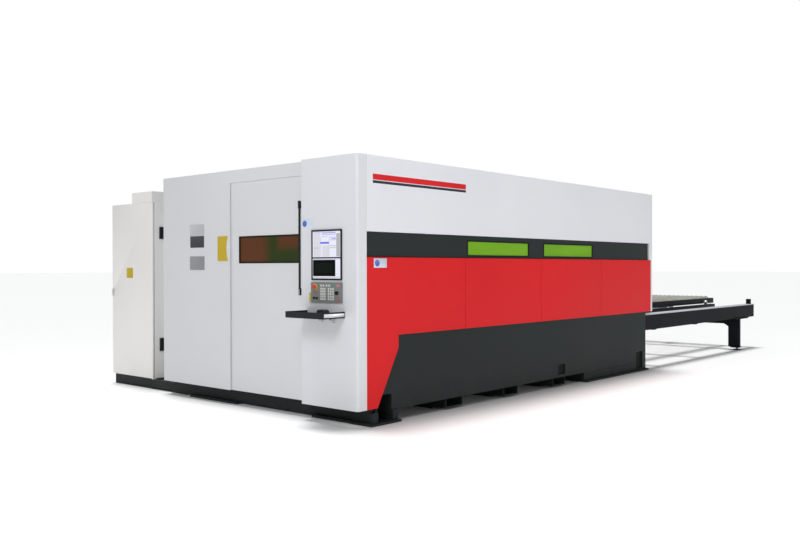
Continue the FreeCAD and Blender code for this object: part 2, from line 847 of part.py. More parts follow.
def corner_foot(left, start):
    """Corner foot: base plate from left, two uprights from start and a back plate."""
    right = corner_foot_plate[1]
    high = corner_foot_top - foot_plate
    plate = block(left, right, -corner_foot_reach, corner_foot_depth, 0.0, foot_plate)
    back_face = panel_thickness
    end = column_knee_x - upright_gap
    inner = block(start, near_arch[0], upright_front, corner_foot_depth, foot_plate, skirt_bottom)
    outer_low = block(near_arch[1], end, upright_front, corner_foot_depth, foot_plate, skirt_bottom)
    outer = block(near_arch[1], end, back_face, corner_foot_depth, foot_plate, high)
    inner_high = block(start, near_arch[0], back_face, corner_foot_depth, foot_plate, high)
    back = block(near_arch[0], near_arch[1], corner_foot_depth - foot_plate, corner_foot_depth,
                 foot_plate, high)
    post_seat = block(start, end, back_face, corner_foot_depth, high, high + foot_plate)
    return join([plate, inner, outer_low, outer, inner_high, back, post_seat])


def long_foot():
    """Long foot at the far end: base plate, front plate and end plates."""
    end = skirt_end
    front = skirt_recess
    plate = block(long_foot_start, long_foot_plate_end, -corner_foot_reach, long_foot_depth, 0.0,
                  foot_plate)
    face = block(long_foot_start, end, front, front + skirt_thickness, foot_plate, skirt_bottom - hairline)
    pocket = block(far_arch[0], far_arch[1], 0.0, long_foot_depth, foot_plate + far_arch_sill, arch_top)
    face = face.cut(pocket)
    ends = [block(x, x + foot_plate, front + skirt_thickness, long_foot_depth, foot_plate,
                  skirt_bottom - hairline)
            for x in (long_foot_start, (long_foot_start + end) / 2.0)]
    back = block(far_arch[0] - frame_tube, end, long_foot_depth - foot_plate, long_foot_depth, foot_plate,
                 corner_foot_top)
    return join([plate, face, back] + ends)


def make_bed_feet():
    """Feet of the bed's four corners."""
    left = corner_foot_plate[0]
    near = corner_foot(left, left + upright_inset)
    far = mirror_back(corner_foot(end_beam_front, end_beam_front))
    return [near, far, long_foot(), mirror_back(long_foot())]


def make_bed_beams():
    """Two long box beams of the bed."""
    near = tube(bed_start, bed_end, bed_beam_offset, bed_beam_offset + bed_beam_width,
                bed_beam_bottom, bed_beam_top, bed_wall, "x")
    return [near, mirror_back(near)]


def make_bed_supports():
    """Upright legs on the base tubes and cross tubes between the beams."""
    low = base_tube_bottom + base_tube_height
    pieces = []
    middle = bed_beam_offset + bed_beam_width / 2.0
    for x in tube_starts():
        centre = x + base_tube_width / 2.0
        leg = block(centre - bed_leg / 2.0, centre + bed_leg / 2.0, middle - bed_leg / 2.0,
                    middle + bed_leg / 2.0,
                    low, bed_beam_bottom)
        pieces += [leg, mirror_back(leg)]
        pieces.append(block(centre - bed_leg / 2.0, centre + bed_leg / 2.0, middle + bed_leg / 2.0,
                            hall_width - middle - bed_leg / 2.0, cross_tube_top - cross_tube_height,
                            cross_tube_top))
    end_leg = block(bed_start, bed_start + bed_leg, bed_beam_offset, corner_foot_depth,
                    corner_foot_top, bed_beam_bottom)
    far_leg = block(bed_end - bed_leg, bed_end, long_foot_depth - foot_plate - bed_leg,
                    long_foot_depth - foot_plate, foot_plate, bed_beam_bottom)
    return pieces + [end_leg, mirror_back(end_leg), far_leg, mirror_back(far_leg)]


def make_linear_guides():
    """Guide rails and racks of the long axis on the bed beams."""
    centre = rail_centre()
    rail = block(bed_start + rail_end_margin, bed_end - rail_end_margin, centre - rail_width / 2.0,
                 centre + rail_width / 2.0,
                 bed_beam_top, bed_beam_top + rail_height)
    low, high = rail_groove
    inner = rail_width / 2.0 - rail_groove_depth
    groove = block(bed_start, bed_end, centre - rail_width, centre - inner, bed_beam_top + low,
                   bed_beam_top + high)
    other = block(bed_start, bed_end, centre + inner, centre + rail_width, bed_beam_top + low,
                  bed_beam_top + high)
    rail = rail.cut(groove).cut(other)
    rack = block(bed_start + rail_end_margin, bed_end - rail_end_margin, centre + rack_offset,
                 centre + rack_offset + rack_width, bed_beam_top, bed_beam_top + rack_height)
    return [rail, mirror_back(rail), rack, mirror_back(rack)]


def rail_centre():
    """Y of the near guide rail."""
    return bed_beam_offset + rail_inset


# ---- gantry and head ----

def make_gantry_beam():
    """Hollow cross beam with its two rails on the operator side."""
    left = gantry_x - gantry_beam_depth / 2.0
    right = gantry_x + gantry_beam_depth / 2.0
    start = bed_beam_offset
    end = hall_width - bed_beam_offset
    high = beam_low + gantry_beam_height
    beam = tube(left, right, start, end, beam_low, high, gantry_wall, "y")
    rails = [block(left - cross_rail_depth, left, start + cross_rail_margin, end - cross_rail_margin,
                   z, z + cross_rail_width)
             for z in cross_rail_heights()]
    return [beam] + rails


def cross_rail_heights():
    """Lower edges of the two cross rails."""
    return (beam_low + cross_rail_inset,
            beam_low + gantry_beam_height - cross_rail_inset - cross_rail_width)


def make_gantry_trucks():
    """Foot plate of the gantry at each side, with two bearing blocks over the rail."""
    centre = rail_centre()
    left = gantry_x - truck_length / 2.0
    low = truck_low
    plate = block(left, left + truck_length, bed_beam_offset, bed_beam_offset + truck_width, low,
                  low + truck_height)
    pieces = [plate]
    for x in (left + bearing_inset, left + truck_length - bearing_length - bearing_inset):
        bearing = block(x, x + bearing_length, centre - rail_width / 2.0 - bearing_side,
                        centre + rail_width / 2.0 + bearing_side, bed_beam_top + bearing_lift, low)
        channel = block(x, x + bearing_length, centre - rail_width / 2.0 - clear,
                        centre + rail_width / 2.0 + clear, bed_beam_top, bed_beam_top + rail_height + clear)
        pieces.append(bearing.cut(channel))
    truck = join(pieces)
    return [truck, mirror_back(truck)]


def make_drive_motors():
    """Gearbox and motor standing on each truck beside the beam."""
    middle = rail_centre() + rack_offset + rack_width / 2.0 - motor_lean
    half = gearbox_side / 2.0
    x = gantry_x + gantry_beam_depth / 2.0 + motor_gap + half
    gearbox = block(x - half, x + half, middle - half, middle + half, beam_low, beam_low + gearbox_side)
    motor = rod(Vector(x, middle, beam_low + gearbox_side), Vector(0, 0, 1), motor_radius,
                motor_height - gearbox_side)
    unit = join([gearbox, motor])
    return [unit, mirror_back(unit)]


def carriage_front():
    """X of the carriage plate's front face."""
    return gantry_x - gantry_beam_depth / 2.0 - cross_rail_depth - carriage_gap - carriage_thickness


def make_carriage():
    """Cross carriage with four bearing blocks, and the vertical axis's motor on its top."""
    front = carriage_front()
    back = front + carriage_thickness
    middle = hall_width / 2.0
    side = middle - carriage_width / 2.0
    high = beam_low + gantry_beam_height + carriage_top_rise
    beam_face = gantry_x - gantry_beam_depth / 2.0
    pieces = [block(front, back, side, side + carriage_width, beam_low + carriage_rise, high)]
    for z in cross_rail_heights():
        for y in (side, side + carriage_width - carriage_bearing):
            bearing = block(back, beam_face - carriage_bearing_gap, y, y + carriage_bearing,
                            z - carriage_bearing_side, z + cross_rail_width + carriage_bearing_side)
            channel = block(beam_face - cross_rail_depth - clear, beam_face, y, y + carriage_bearing,
                            z - clear,
                            z + cross_rail_width + clear)
            pieces.append(bearing.cut(channel))
    half = lift_rail_width / 2.0
    pieces.append(block(front - lift_rail_depth, front, middle - half, middle + half,
                        beam_low + shelf_thickness, high - shelf_thickness))
    pieces.append(block(front - lift_shelf, front, middle - lift_shelf / 2.0, middle + lift_shelf / 2.0,
                        high - shelf_thickness, high))
    start = front - (lift_shelf + lift_motor_side) / 2.0 - motor_lean
    pieces.append(block(start, start + lift_motor_side, middle - lift_motor_side / 2.0,
                        middle + lift_motor_side / 2.0, high, high + lift_motor_height))
    return [join(pieces)]


def make_z_slide():
    """Vertical slide plate running on the carriage's rail."""
    front = carriage_front()
    middle = hall_width / 2.0
    low = beam_low + z_plate_rise
    back = front - clear
    half = lift_rail_width / 2.0 + clear
    plate = block(head_face(), back, middle - z_plate_width / 2.0, middle + z_plate_width / 2.0,
                  low, low + z_plate_height)
    channel = block(back - lift_rail_depth, front, middle - half, middle + half, low, low + z_plate_height)
    return plate.cut(channel)


def head_face():
    """X of the vertical slide's front face."""
    return carriage_front() - clear - lift_rail_depth - z_plate_thickness


def make_cutting_head():
    """Cutting head: body, tapered cone, nozzle and the fibre connector on its top."""
    middle = hall_width / 2.0
    half = head_size / 2.0
    x = head_face() - half
    taper_low = nozzle_tip + nozzle_length
    body_low = taper_low + taper_height
    body_high = beam_low + gantry_beam_height + head_top_rise
    tube_high = body_high + lens_tube_height
    down = Vector(0, 0, -1)
    up = Vector(0, 0, 1)
    body = block(x - half, x + half, middle - half, middle + half, body_low, body_high)
    taper = Part.makeCone(half - taper_step, taper_end_radius, taper_height, Vector(x, middle, body_low),
                          down)
    nozzle = Part.makeCone(holder_radius, nozzle_radius, nozzle_length, Vector(x, middle, taper_low), down)
    inlet = rod(Vector(x, middle, body_high), up, lens_tube_radius, lens_tube_height)
    plug = rod(Vector(x, middle, tube_high), up, holder_radius, plug_height)
    return join([body, taper, nozzle, inlet, plug])


# ---- pallets, tracks, exchange table ----

def make_tracks():
    """Two-level tracks at both sides, in the bed and on the table."""
    tracks = []
    foot = lower_rail - track_sheet - track_foot
    for start, end in ((track_inner_start, track_stop), (table_track_start, drive_x - track_end_gap)):
        web = block(start, end, track_offset, track_offset + track_sheet, foot, upper_rail)
        upper = block(start, end, track_offset + track_sheet, track_offset + track_sheet + track_ledge,
                      upper_rail - track_sheet, upper_rail)
        lower = block(start, end, track_offset + track_sheet, track_offset + track_sheet + track_ledge,
                      lower_rail - track_sheet, lower_rail)
        track = join([web, upper, lower])
        tracks += [track, mirror_back(track)]
    return tracks


def wheel_places(start):
    """X of a pallet's two axles."""
    return (start + wheel_set_inset, start + pallet_length - wheel_set_inset)


def make_pallet_frame(start, rail):
    """Pallet frame: two side channels and two end channels, bored for the axles."""
    axle_z = rail + clear + wheel_radius
    low = rail + pallet_lift
    high = low + pallet_frame_height
    near = track_offset + pallet_edge
    side = tube(start, start + pallet_length, near, near + pallet_side, low, high, pallet_wall, "x")
    for x in wheel_places(start):
        bore = rod(Vector(x, near, axle_z), Vector(0, 1, 0), axle_radius + axle_clearance, pallet_side)
        side = side.cut(bore)
    end = tube(start, start + pallet_side, near + pallet_side, hall_width - near - pallet_side, low, high,
               pallet_wall, "y")
    other_end = end.copy()
    other_end.translate(Vector(pallet_length - pallet_side, 0.0, 0.0))
    return join([side, mirror_back(side), end, other_end])


def make_slats(start, rail):
    """Saw-toothed support slats standing across the pallet."""
    low = rail + pallet_lift + pallet_frame_height + slat_rise - slat_height
    near = track_offset + pallet_edge + pallet_side
    far = hall_width - near
    pitch = (far - near) / slat_teeth
    points = [(near, low), (far, low)]
    for index in range(slat_teeth, 0, -1):
        points.append((near + index * pitch, low + slat_height - slat_tooth))
        points.append((near + (index - 0.5) * pitch, low + slat_height))
    points.append((near, low + slat_height - slat_tooth))
    first = start + pallet_side + slat_margin
    step = (pallet_length - 2.0 * (pallet_side + slat_margin) - slat_thickness) / (slat_count - 1)
    return [plate_yz(points, first + index * step, slat_thickness) for index in range(slat_count)]


def make_wheel_set(x, rail):
    """Axle with a wheel at each end."""
    axle_z = rail + clear + wheel_radius
    near = track_offset + pallet_edge
    first = near - wheel_gap - wheel_width
    axle = rod(Vector(x, first - axle_end, axle_z), Vector(0, 1, 0), axle_radius,
               hall_width - 2.0 * (first - axle_end))
    wheel = rod(Vector(x, first, axle_z), Vector(0, 1, 0), wheel_radius, wheel_width)
    return join([axle, wheel, mirror_back(wheel)])


def table_beam(start):
    """Side beam of the exchange table with a bright edge rail and an end stop on top."""
    near = table_beam_offset
    far = near + table_beam_width
    beam = tube(start, table_end, near, far, table_beam_bottom, table_beam_top, table_wall, "x")
    rail = block(start, table_end, near - edge_rail_lip, far, table_beam_top,
                 table_beam_top + edge_rail)
    cap = block(table_end - table_wall, table_end, near + table_wall, far - table_wall,
                table_beam_bottom + table_wall, table_beam_top - table_wall)
    stop = block(stop_place_x, stop_place_x + stop_size, near + stop_inset, near + stop_inset + stop_size,
                 table_beam_top + edge_rail, table_beam_top + edge_rail + stop_height)
    return join([beam, rail, cap, stop])


def make_table_beams():
    """The near beam starts under the hall's long side, the far one at its end panel."""
    return [table_beam(skirt_end), mirror_back(table_beam(hall_length))]


def make_cross_members():
    """Flat cross tubes under the table's beams and tracks, and a deep one between the legs."""
    start = table_beam_offset + cross_member_inset
    members = []
    for x in cross_member_places:
        members.append(tube(x, x + cross_member_width, start, hall_width - start,
                            table_beam_bottom - cross_member_height, table_beam_bottom,
                            cross_member_wall, "y"))
    leg_back = leg_place + leg_thickness
    start = table_beam_offset - leg_outset + leg_width
    members.append(tube(leg_back, leg_back + cross_member_width, start, hall_width - start,
                        table_beam_bottom - leg_bar_height, table_beam_bottom, table_wall, "y"))
    return members


def make_table_legs():
    """Leg plates with gusset, top flange, foot plate and levelling foot."""
    near = table_beam_offset - leg_outset
    far = near + leg_width
    start = leg_place - leg_flange_front
    under = table_beam_bottom - leg_flange
    flange = block(start, start + leg_flange_length, near, far, under, table_beam_bottom)
    outline = [(near, leg_clearance), (far, leg_clearance), (far, under - leg_gusset[1]),
               (far + leg_gusset[0], under), (near, under)]
    plate = plate_yz(outline, leg_place, leg_thickness)
    foot = block(leg_place - leg_foot[0], leg_place + leg_thickness + leg_foot[1], near,
                 far - leg_foot_inset,
                 leg_clearance - leg_flange, leg_clearance)
    place = Vector(leg_place + leg_thickness + stud_offset, (near + far - leg_foot_inset) / 2.0, 0.0)
    up = Vector(0, 0, 1)
    pad = rod(place, up, pad_radius, pad_height)
    stud = rod(place + up * pad_height, up, stud_radius, stud_length)
    leg = join([flange, plate, foot, stud, pad])
    return [leg, mirror_back(leg)]


def make_drive_shaft():
    """Exchange drive shaft with a toothed sprocket at each side."""
    near = track_offset + sprocket_offset
    across = Vector(0, 1, 0)
    start = near - shaft_end
    shaft = rod(Vector(drive_x, start, drive_z), across, drive_shaft_radius, hall_width - 2.0 * start)
    sprocket = rod(Vector(drive_x, near, drive_z), across, sprocket_radius, sprocket_width)
    for index in range(sprocket_teeth):
        angle = 2.0 * math.pi * index / sprocket_teeth
        centre = Vector(drive_x + sprocket_radius * math.cos(angle), near,
                        drive_z + sprocket_radius * math.sin(angle))
        sprocket = sprocket.cut(rod(centre, across, tooth_gap_radius, sprocket_width))
    return join([shaft, sprocket, mirror_back(sprocket)])


def make_drive_unit():
    """Bearing blocks of the drive shaft and the gear motor beside it."""
    end = cross_member_places[-1] + cross_member_width
    low = table_beam_bottom
    bore = rod(Vector(drive_x, 0.0, drive_z), Vector(0, 1, 0), drive_shaft_radius + axle_clearance,
               hall_width)
    inner = track_offset + track_sheet + track_gap / 2.0
    half = shaft_bearing_side / 2.0
    plate = block(drive_x - mount_reach, end, inner + shaft_bearing_width - mount_width,
                  inner + shaft_bearing_width, low, low + shaft_bearing_width)
    column = block(drive_x - half, drive_x + half, inner, inner + shaft_bearing_width,
                   low + shaft_bearing_width, drive_z + half)
    mount = join([plate, column]).cut(bore)
    middle = hall_width / 2.0
    side = drive_gearbox / 2.0
    near = middle - drive_gearbox_width / 2.0
    far = middle + drive_gearbox_width / 2.0
    gearbox = block(drive_x - side, drive_x + side, near, far, drive_z - side, drive_z + side).cut(bore)
    foot = block(drive_x - side, end, near, far, low, drive_z - side)
    motor = rod(Vector(drive_x + side, middle, drive_z), Vector(1, 0, 0), drive_motor_radius,
                drive_motor_length)
    return [mount, mirror_back(mount), join([gearbox, foot, motor])]


# ---- gate, trays, maintenance door ----

def gate_edge():
    """Y of the gate's near edge."""
    return track_offset - opening_margin - gate_side


def make_gate():
    """Lifting gate behind the pallet opening, raised at rest."""
    near = gate_edge()
    return block(gate_x, gate_x + gate_thickness, near, hall_width - near, opening_high,
                 opening_high + gate_height)


def make_gate_guides():
    """Guide channels of the gate on the rear end panel."""
    near = gate_edge()
    low = opening_high - gate_travel - guide_bottom
    top = opening_high + gate_height + guide_top
    outer = block(gate_x - gate_gap, hall_length - panel_thickness, near - guide_outset,
                  near + guide_overlap,
                  low, top)
    channel = block(gate_x - guide_room, gate_x + gate_thickness + guide_room, near - clear,
                    near + guide_overlap,
                    low, top)
    guide = outer.cut(channel)
    return [guide, mirror_back(guide)]


def make_scrap_trays():
    """Scrap trays standing on the base tubes' runners."""
    low = base_tube_bottom + base_tube_height + runner_height - clear
    trays = []
    starts = tube_starts()
    near = bed_beam_offset + bed_beam_width + tray_side_gap
    for left, right in zip(starts[:-1], starts[1:]):
        x0 = left + base_tube_width / 2.0 + bed_leg / 2.0 + tray_gap
        x1 = right + base_tube_width / 2.0 - bed_leg / 2.0 - tray_gap
        outer = block(x0, x1, near, hall_width - near, low, low + scrap_tray_height)
        inner = block(x0 + scrap_wall, x1 - scrap_wall, near + scrap_wall, hall_width - near - scrap_wall,
                      low + scrap_wall, low + scrap_tray_height)
        trays.append(outer.cut(inner))
    return trays


def make_maintenance_door():
    """Hinged door in the back wall with a grip."""
    left, right = maintenance_span
    inner = hall_width - panel_thickness + clear
    leaf = block(left, right, inner, hall_width, maintenance_bottom,
                 maintenance_bottom + maintenance_height)
    start = right - grip_inset
    low, high = grip_span
    grip = block(start, start + grip_width, hall_width, hall_width + grip_reach, low, high)
    hollow = block(start, start + grip_width, hall_width, hall_width + grip_reach - grip_bar,
                   low + grip_foot, high - grip_foot)
    for low_end, high_end in maintenance_hinges:
        leaf = add_moving_half(leaf, left, hall_width, low_end, high_end)
    return join([leaf, grip.cut(hollow)])


# ---- cabinet ----

def cabinet_body_front():
    """X of the cabinet body behind its door."""
    return cabinet_front + cabinet_door_thickness + clear


def make_cabinet():
    """Control cabinet: shell open to the front, with hood, hinges and cable duct to the hall."""
    front = cabinet_body_front()
    back = cabinet_front + cabinet_depth
    shell = block(front, back, cabinet_near, cabinet_far, cabinet_bottom, cabinet_top)
    inside = block(front, back - cabinet_wall, cabinet_near + cabinet_wall, cabinet_far - cabinet_wall,
                   cabinet_bottom + cabinet_wall, cabinet_top - cabinet_wall)
    shell = shell.cut(inside)
    for low, high in vent_heights:
        shell = shell.cut(block(cabinet_front + vent_span[0], cabinet_front + vent_span[1],
                                cabinet_far - vent_depth, cabinet_far, low, high))
    hood = block(cabinet_front, back, cabinet_near, cabinet_near + hood_width, cabinet_top,
                 cabinet_top + hood_height)
    duct = block(duct_span[0], duct_span[1], hall_width, cabinet_near, duct_bottom,
                 duct_bottom + duct_height)
    x, y = cabinet_pivot()
    low = cabinet_bottom - pivot_lug
    up = Vector(0, 0, 1)
    lug = block(x - pivot_lug, front + pivot_lug_reach, y - pivot_lug, cabinet_near + plinth_inset, low,
                cabinet_bottom)
    pivots = [rod(Vector(x, y, low), up, pivot_radius, pivot_lug + pivot_depth),
              rod(Vector(x, y, cabinet_top - pivot_depth), up, pivot_radius, pivot_depth)]
    return join([shell, hood, duct, lug] + pivots)


def make_cabinet_hinges():
    """Black hinges of the side flap with the fixed half of each barrel."""
    hinges = []
    front = cabinet_near - flap_thickness
    for low, high in hinge_heights:
        leaf = block(hinge_span[0], hinge_span[1], front, cabinet_near, low, high)
        hinges.append(add_fixed_half(leaf, flap_span[0], front, low, high))
    return hinges


def cabinet_pivot():
    """Place of the cabinet door's pivots on the floor plan."""
    half = cabinet_door_thickness / 2.0
    return cabinet_front + half, cabinet_near + hairline + half


def make_plinth():
    """Dark plinth under the cabinet."""
    return block(cabinet_front + plinth_inset, cabinet_front + cabinet_depth - plinth_inset,
                 cabinet_near + plinth_inset, cabinet_far - plinth_inset, 0.0, cabinet_bottom)


def make_cabinet_door():
    """Front door of the cabinet, round at its pivots, with the lock's bore."""
    x, y = cabinet_pivot()
    low = cabinet_bottom + hairline
    high = cabinet_top - hairline
    up = Vector(0, 0, 1)
    leaf = block(cabinet_front, cabinet_front + cabinet_door_thickness, y, cabinet_far, low, high)
    edge = rod(Vector(x, y, low), up, cabinet_door_thickness / 2.0, high - low)
    door = join([leaf, edge])
    depth = pivot_depth + clear
    for z in (cabinet_bottom, cabinet_top - depth):
        door = door.cut(rod(Vector(x, y, z), up, pivot_radius + axle_clearance, depth))
    bore = rod(Vector(cabinet_front, cabinet_far - lock_inset, lock_z), Vector(1, 0, 0),
               lock_spindle + clear, cabinet_door_thickness)
    return door.cut(bore)


def make_lock_handle():
    """Swing handle of the cabinet door on its round boss."""
    y = cabinet_far - lock_inset
    face = cabinet_front - clear
    boss = rod(Vector(face - lock_boss, y, lock_z), Vector(1, 0, 0), lock_width / 2.0, lock_boss)
    lever = block(face - lock_boss - lock_depth, face - lock_boss, y - lock_width / 2.0,
                  y + lock_width / 2.0,
                  lock_z - lock_length + lock_width / 2.0, lock_z + lock_width / 2.0)
    spindle = rod(Vector(face, y, lock_z), Vector(1, 0, 0), lock_spindle, cabinet_door_thickness)
    return join([boss, lever, spindle])


def make_flap():
    """Side flap of the cabinet with the moving half of each hinge barrel."""
    front = cabinet_near - flap_thickness
    flap = block(flap_span[0], flap_span[1], front, cabinet_near - clear, flap_bottom,
                 flap_bottom + flap_height)
    for low, high in hinge_heights:
        flap = add_moving_half(flap, flap_span[0], front, low, high)
    return flap


def make_laser_source():
    """Laser source at the cabinet's floor and the drives above it."""
    front = cabinet_front + cabinet_depth - cabinet_wall
    low = cabinet_bottom + cabinet_wall
    y = cabinet_near + cabinet_wall + source_inset
    source = block(front - source_size[0], front, y, y + source_size[1], low, low + source_size[2])
    shelf = low + source_size[2] + drives_gap
    drives = block(front - drives_size[0], front, y, y + drives_size[1], shelf, shelf + drives_size[2])
    return [source, drives]


def write_hall():
    save("corner_panel", [make_corner_panel()])
    save("left_end_panel", [make_left_end_panel()])
    save("upper_side_panel", [make_upper_side_panel()])
    save("window_band", [make_window_band()])
    save("green_panes", make_green_panes())
    save("red_panels", make_red_panels())
    save("front_skirt", make_front_skirt())
    save("rear_skirt", [make_rear_skirt()])
    save("back_panels", make_back_panels())
    save("rear_end_panel", [make_rear_end_panel()])
    save("roof_panels", make_roof_panels())
    save("hall_frame", make_hall_frame() + [make_door_rail()] + make_gate_guides())
    save("lift_gate", [make_gate()])
    save("maintenance_door", [make_maintenance_door()])


def write_operator_end():
    save("sliding_door", [make_sliding_door()])
    save("door_window", [make_door_window()])
    save("door_handle", [make_door_handle()])
    save("monitor", [make_monitor()])
    save("console", [make_console()])
    save("emergency_stop", [make_mushroom()])
    save("start_button", [make_button(start_place)])
    save("stop_button", [make_button(stop_place)])
    save("reset_button", [make_button(reset_place)])
    save("left_selector", [make_selector(selector_places[0])])
    save("right_selector", [make_selector(selector_places[1])])
    save("override_knob", [make_override()])
    save("keyboard_tray", [make_tray()])


def write_bed():
    save("base_tubes", make_base())
    save("bed_feet", make_bed_feet())
    save("bed_supports", make_bed_supports())
    save("bed_beams", make_bed_beams())
    save("linear_guides", make_linear_guides())
    save("pallet_tracks", make_tracks())
    save("scrap_trays", make_scrap_trays())


def write_gantry():
    save("gantry_beam", make_gantry_beam())
    save("gantry_trucks", make_gantry_trucks())
    save("gantry_motors", make_drive_motors())
    save("cross_carriage", make_carriage())
    save("vertical_slide", [make_z_slide()])
    save("cutting_head", [make_cutting_head()])


def write_table():
    save("table_beams", make_table_beams())
    save("table_cross_members", make_cross_members())
    save("table_legs", make_table_legs())
    save("drive_unit", make_drive_unit())
    save("drive_shaft", [make_drive_shaft()])
    for name, start, rail in (("pallet_1", pallet_1_start, upper_rail),
                              ("pallet_2", pallet_2_start, lower_rail)):
        save(name + "_frame", [make_pallet_frame(start, rail)])
        save(name + "_slats", make_slats(start, rail))
        for end, x in zip(("near", "far"), wheel_places(start)):
            save(name + "_" + end + "_wheels", [make_wheel_set(x, rail)])


def write_cabinet():
    save("cabinet_shell", [make_cabinet()])
    save("cabinet_hinges", make_cabinet_hinges())
    save("cabinet_plinth", [make_plinth()])
    save("cabinet_door", [make_cabinet_door()])
    save("cabinet_lock", [make_lock_handle()])
    save("cabinet_flap", [make_flap()])
    save("laser_source", make_laser_source())


os.makedirs("parts", exist_ok=True)
write_hall()
write_operator_end()
write_bed()
write_gantry()
write_table()
write_cabinet()
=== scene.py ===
import math

import bpy
from mathutils import Euler, Matrix, Vector


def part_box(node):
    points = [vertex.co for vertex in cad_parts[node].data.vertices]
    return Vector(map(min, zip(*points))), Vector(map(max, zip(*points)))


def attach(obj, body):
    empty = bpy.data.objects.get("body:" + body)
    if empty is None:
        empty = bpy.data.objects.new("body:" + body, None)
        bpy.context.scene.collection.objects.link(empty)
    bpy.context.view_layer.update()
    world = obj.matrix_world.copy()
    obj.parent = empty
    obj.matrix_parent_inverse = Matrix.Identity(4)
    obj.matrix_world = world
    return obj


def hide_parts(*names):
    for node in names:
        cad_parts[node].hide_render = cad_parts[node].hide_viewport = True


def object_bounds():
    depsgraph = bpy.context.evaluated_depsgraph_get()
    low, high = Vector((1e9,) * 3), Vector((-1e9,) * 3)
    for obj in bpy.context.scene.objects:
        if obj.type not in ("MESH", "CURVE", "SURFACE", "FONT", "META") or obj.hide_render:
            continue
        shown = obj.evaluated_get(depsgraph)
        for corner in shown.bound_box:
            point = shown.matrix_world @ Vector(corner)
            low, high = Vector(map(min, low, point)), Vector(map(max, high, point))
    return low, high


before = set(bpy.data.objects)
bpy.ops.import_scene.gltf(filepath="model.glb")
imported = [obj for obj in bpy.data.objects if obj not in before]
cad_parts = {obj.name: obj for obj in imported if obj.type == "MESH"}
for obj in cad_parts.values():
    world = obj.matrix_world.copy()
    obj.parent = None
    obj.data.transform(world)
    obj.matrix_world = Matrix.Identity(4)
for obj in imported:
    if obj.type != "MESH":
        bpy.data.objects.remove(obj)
cadLow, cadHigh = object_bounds()
print("frame loaded:", len(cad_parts), "nodes")

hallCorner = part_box("corner_panel")[0]  # near corner of the hall; lengths below are measured from it
floorHeight = cadLow.z


def at(x, y, z):
    return Vector((hallCorner.x + x, hallCorner.y + y, floorHeight + z))


# camera, light and floor

cameraSetup = {
    "place": (-4.829, -4.696, 1.293),
    "yaw": 41.33,        # from the length of the hall towards its back
    "pitch": -0.417,
    "roll": -0.12,
    "lens": 38.16,
    "shiftUp": 0.00775,
    "reach": 300.0,
}

studio = {
    "floorColour": (0.93, 0.93, 0.93, 1.0),
    "floorRoughness": 0.55,
    "floorShine": 0.2,
    "floorSize": 400.0,
    "ambient": 0.25,
    "ambientTint": (0.97, 0.985, 1.0, 1.0),
    "backdrop": (1.0, 1.0, 1.0, 1.0),
    "sun": {"power": 2.8, "spread": 18.0, "source": (0.03, 0.155, 1.0)},
    "lights": [
        # name, place, aims at, size, power
        ("keyLight", (3.3, -9.0, 1.3), (3.3, 0.0, 1.1), (12.0, 2.4), 228.0),
        ("endLight", (-5.4, -2.0, 4.9), (0.0, 1.0, 2.2), (3.0, 2.5), 178.0),
    ],
}


def makeCamera():
    lens = bpy.data.cameras.new("camera")
    camera = bpy.data.objects.new("camera", lens)
    bpy.context.scene.collection.objects.link(camera)
    lens.lens = cameraSetup["lens"]
    lens.shift_y = cameraSetup["shiftUp"]
    lens.clip_end = cameraSetup["reach"]
    turn = Euler((math.radians(90.0 + cameraSetup["pitch"]), 0.0, math.radians(cameraSetup["yaw"] - 90.0)))
    level = turn.to_matrix() @ Matrix.Rotation(math.radians(cameraSetup["roll"]), 3, "Z")
    camera.matrix_world = Matrix.Translation(at(*cameraSetup["place"])) @ level.to_4x4()
    bpy.context.scene.camera = camera


def makeWorld():
    world = bpy.data.worlds.new("studioWorld")
    bpy.context.scene.world = world
    world.use_nodes = True
    tree = world.node_tree
    tree.nodes.clear()
    output = tree.nodes.new("ShaderNodeOutputWorld")
    mix = tree.nodes.new("ShaderNodeMixShader")
    seen = tree.nodes.new("ShaderNodeBackground")
    seen.inputs["Color"].default_value = studio["backdrop"]
    fill = tree.nodes.new("ShaderNodeBackground")
    fill.inputs["Color"].default_value = studio["ambientTint"]
    fill.inputs["Strength"].default_value = studio["ambient"]
    path = tree.nodes.new("ShaderNodeLightPath")
    tree.links.new(path.outputs["Is Camera Ray"], mix.inputs["Fac"])
    tree.links.new(fill.outputs["Background"], mix.inputs[1])
    tree.links.new(seen.outputs["Background"], mix.inputs[2])
    tree.links.new(mix.outputs["Shader"], output.inputs["Surface"])


def makeLights():
    look = studio["sun"]
    data = bpy.data.lights.new("highSun", "SUN")
    data.energy = look["power"]
    data.angle = math.radians(look["spread"])
    sun = bpy.data.objects.new("highSun", data)
    sun.rotation_euler = Vector(look["source"]).to_track_quat("Z", "Y").to_euler()
    bpy.context.scene.collection.objects.link(sun)
    for name, place, target, size, power in studio["lights"]:
        data = bpy.data.lights.new(name, "AREA")
        data.shape = "RECTANGLE"
        data.size, data.size_y = size
        data.energy = power
        light = bpy.data.objects.new(name, data)
        light.location = at(*place)
        light.rotation_euler = (at(*target) - light.location).to_track_quat("-Z", "Y").to_euler()
        light.visible_camera = False
        bpy.context.scene.collection.objects.link(light)


def makeFloor():
    clearSelection()
    bpy.ops.mesh.primitive_plane_add(size=studio["floorSize"], location=(0.0, 0.0, floorHeight))
    floor = bpy.context.active_object
    floor.name = "studioFloor"
    material = bpy.data.materials.new("studioFloorFinish")
    material.use_nodes = True
    shader = material.node_tree.nodes["Principled BSDF"]
    shader.inputs["Base Color"].default_value = studio["floorColour"]
    shader.inputs["Roughness"].default_value = studio["floorRoughness"]
    shader.inputs["Specular IOR Level"].default_value = studio["floorShine"]
    floor.data.materials.append(material)


# modelling by hand: small helpers over Blender's own operators

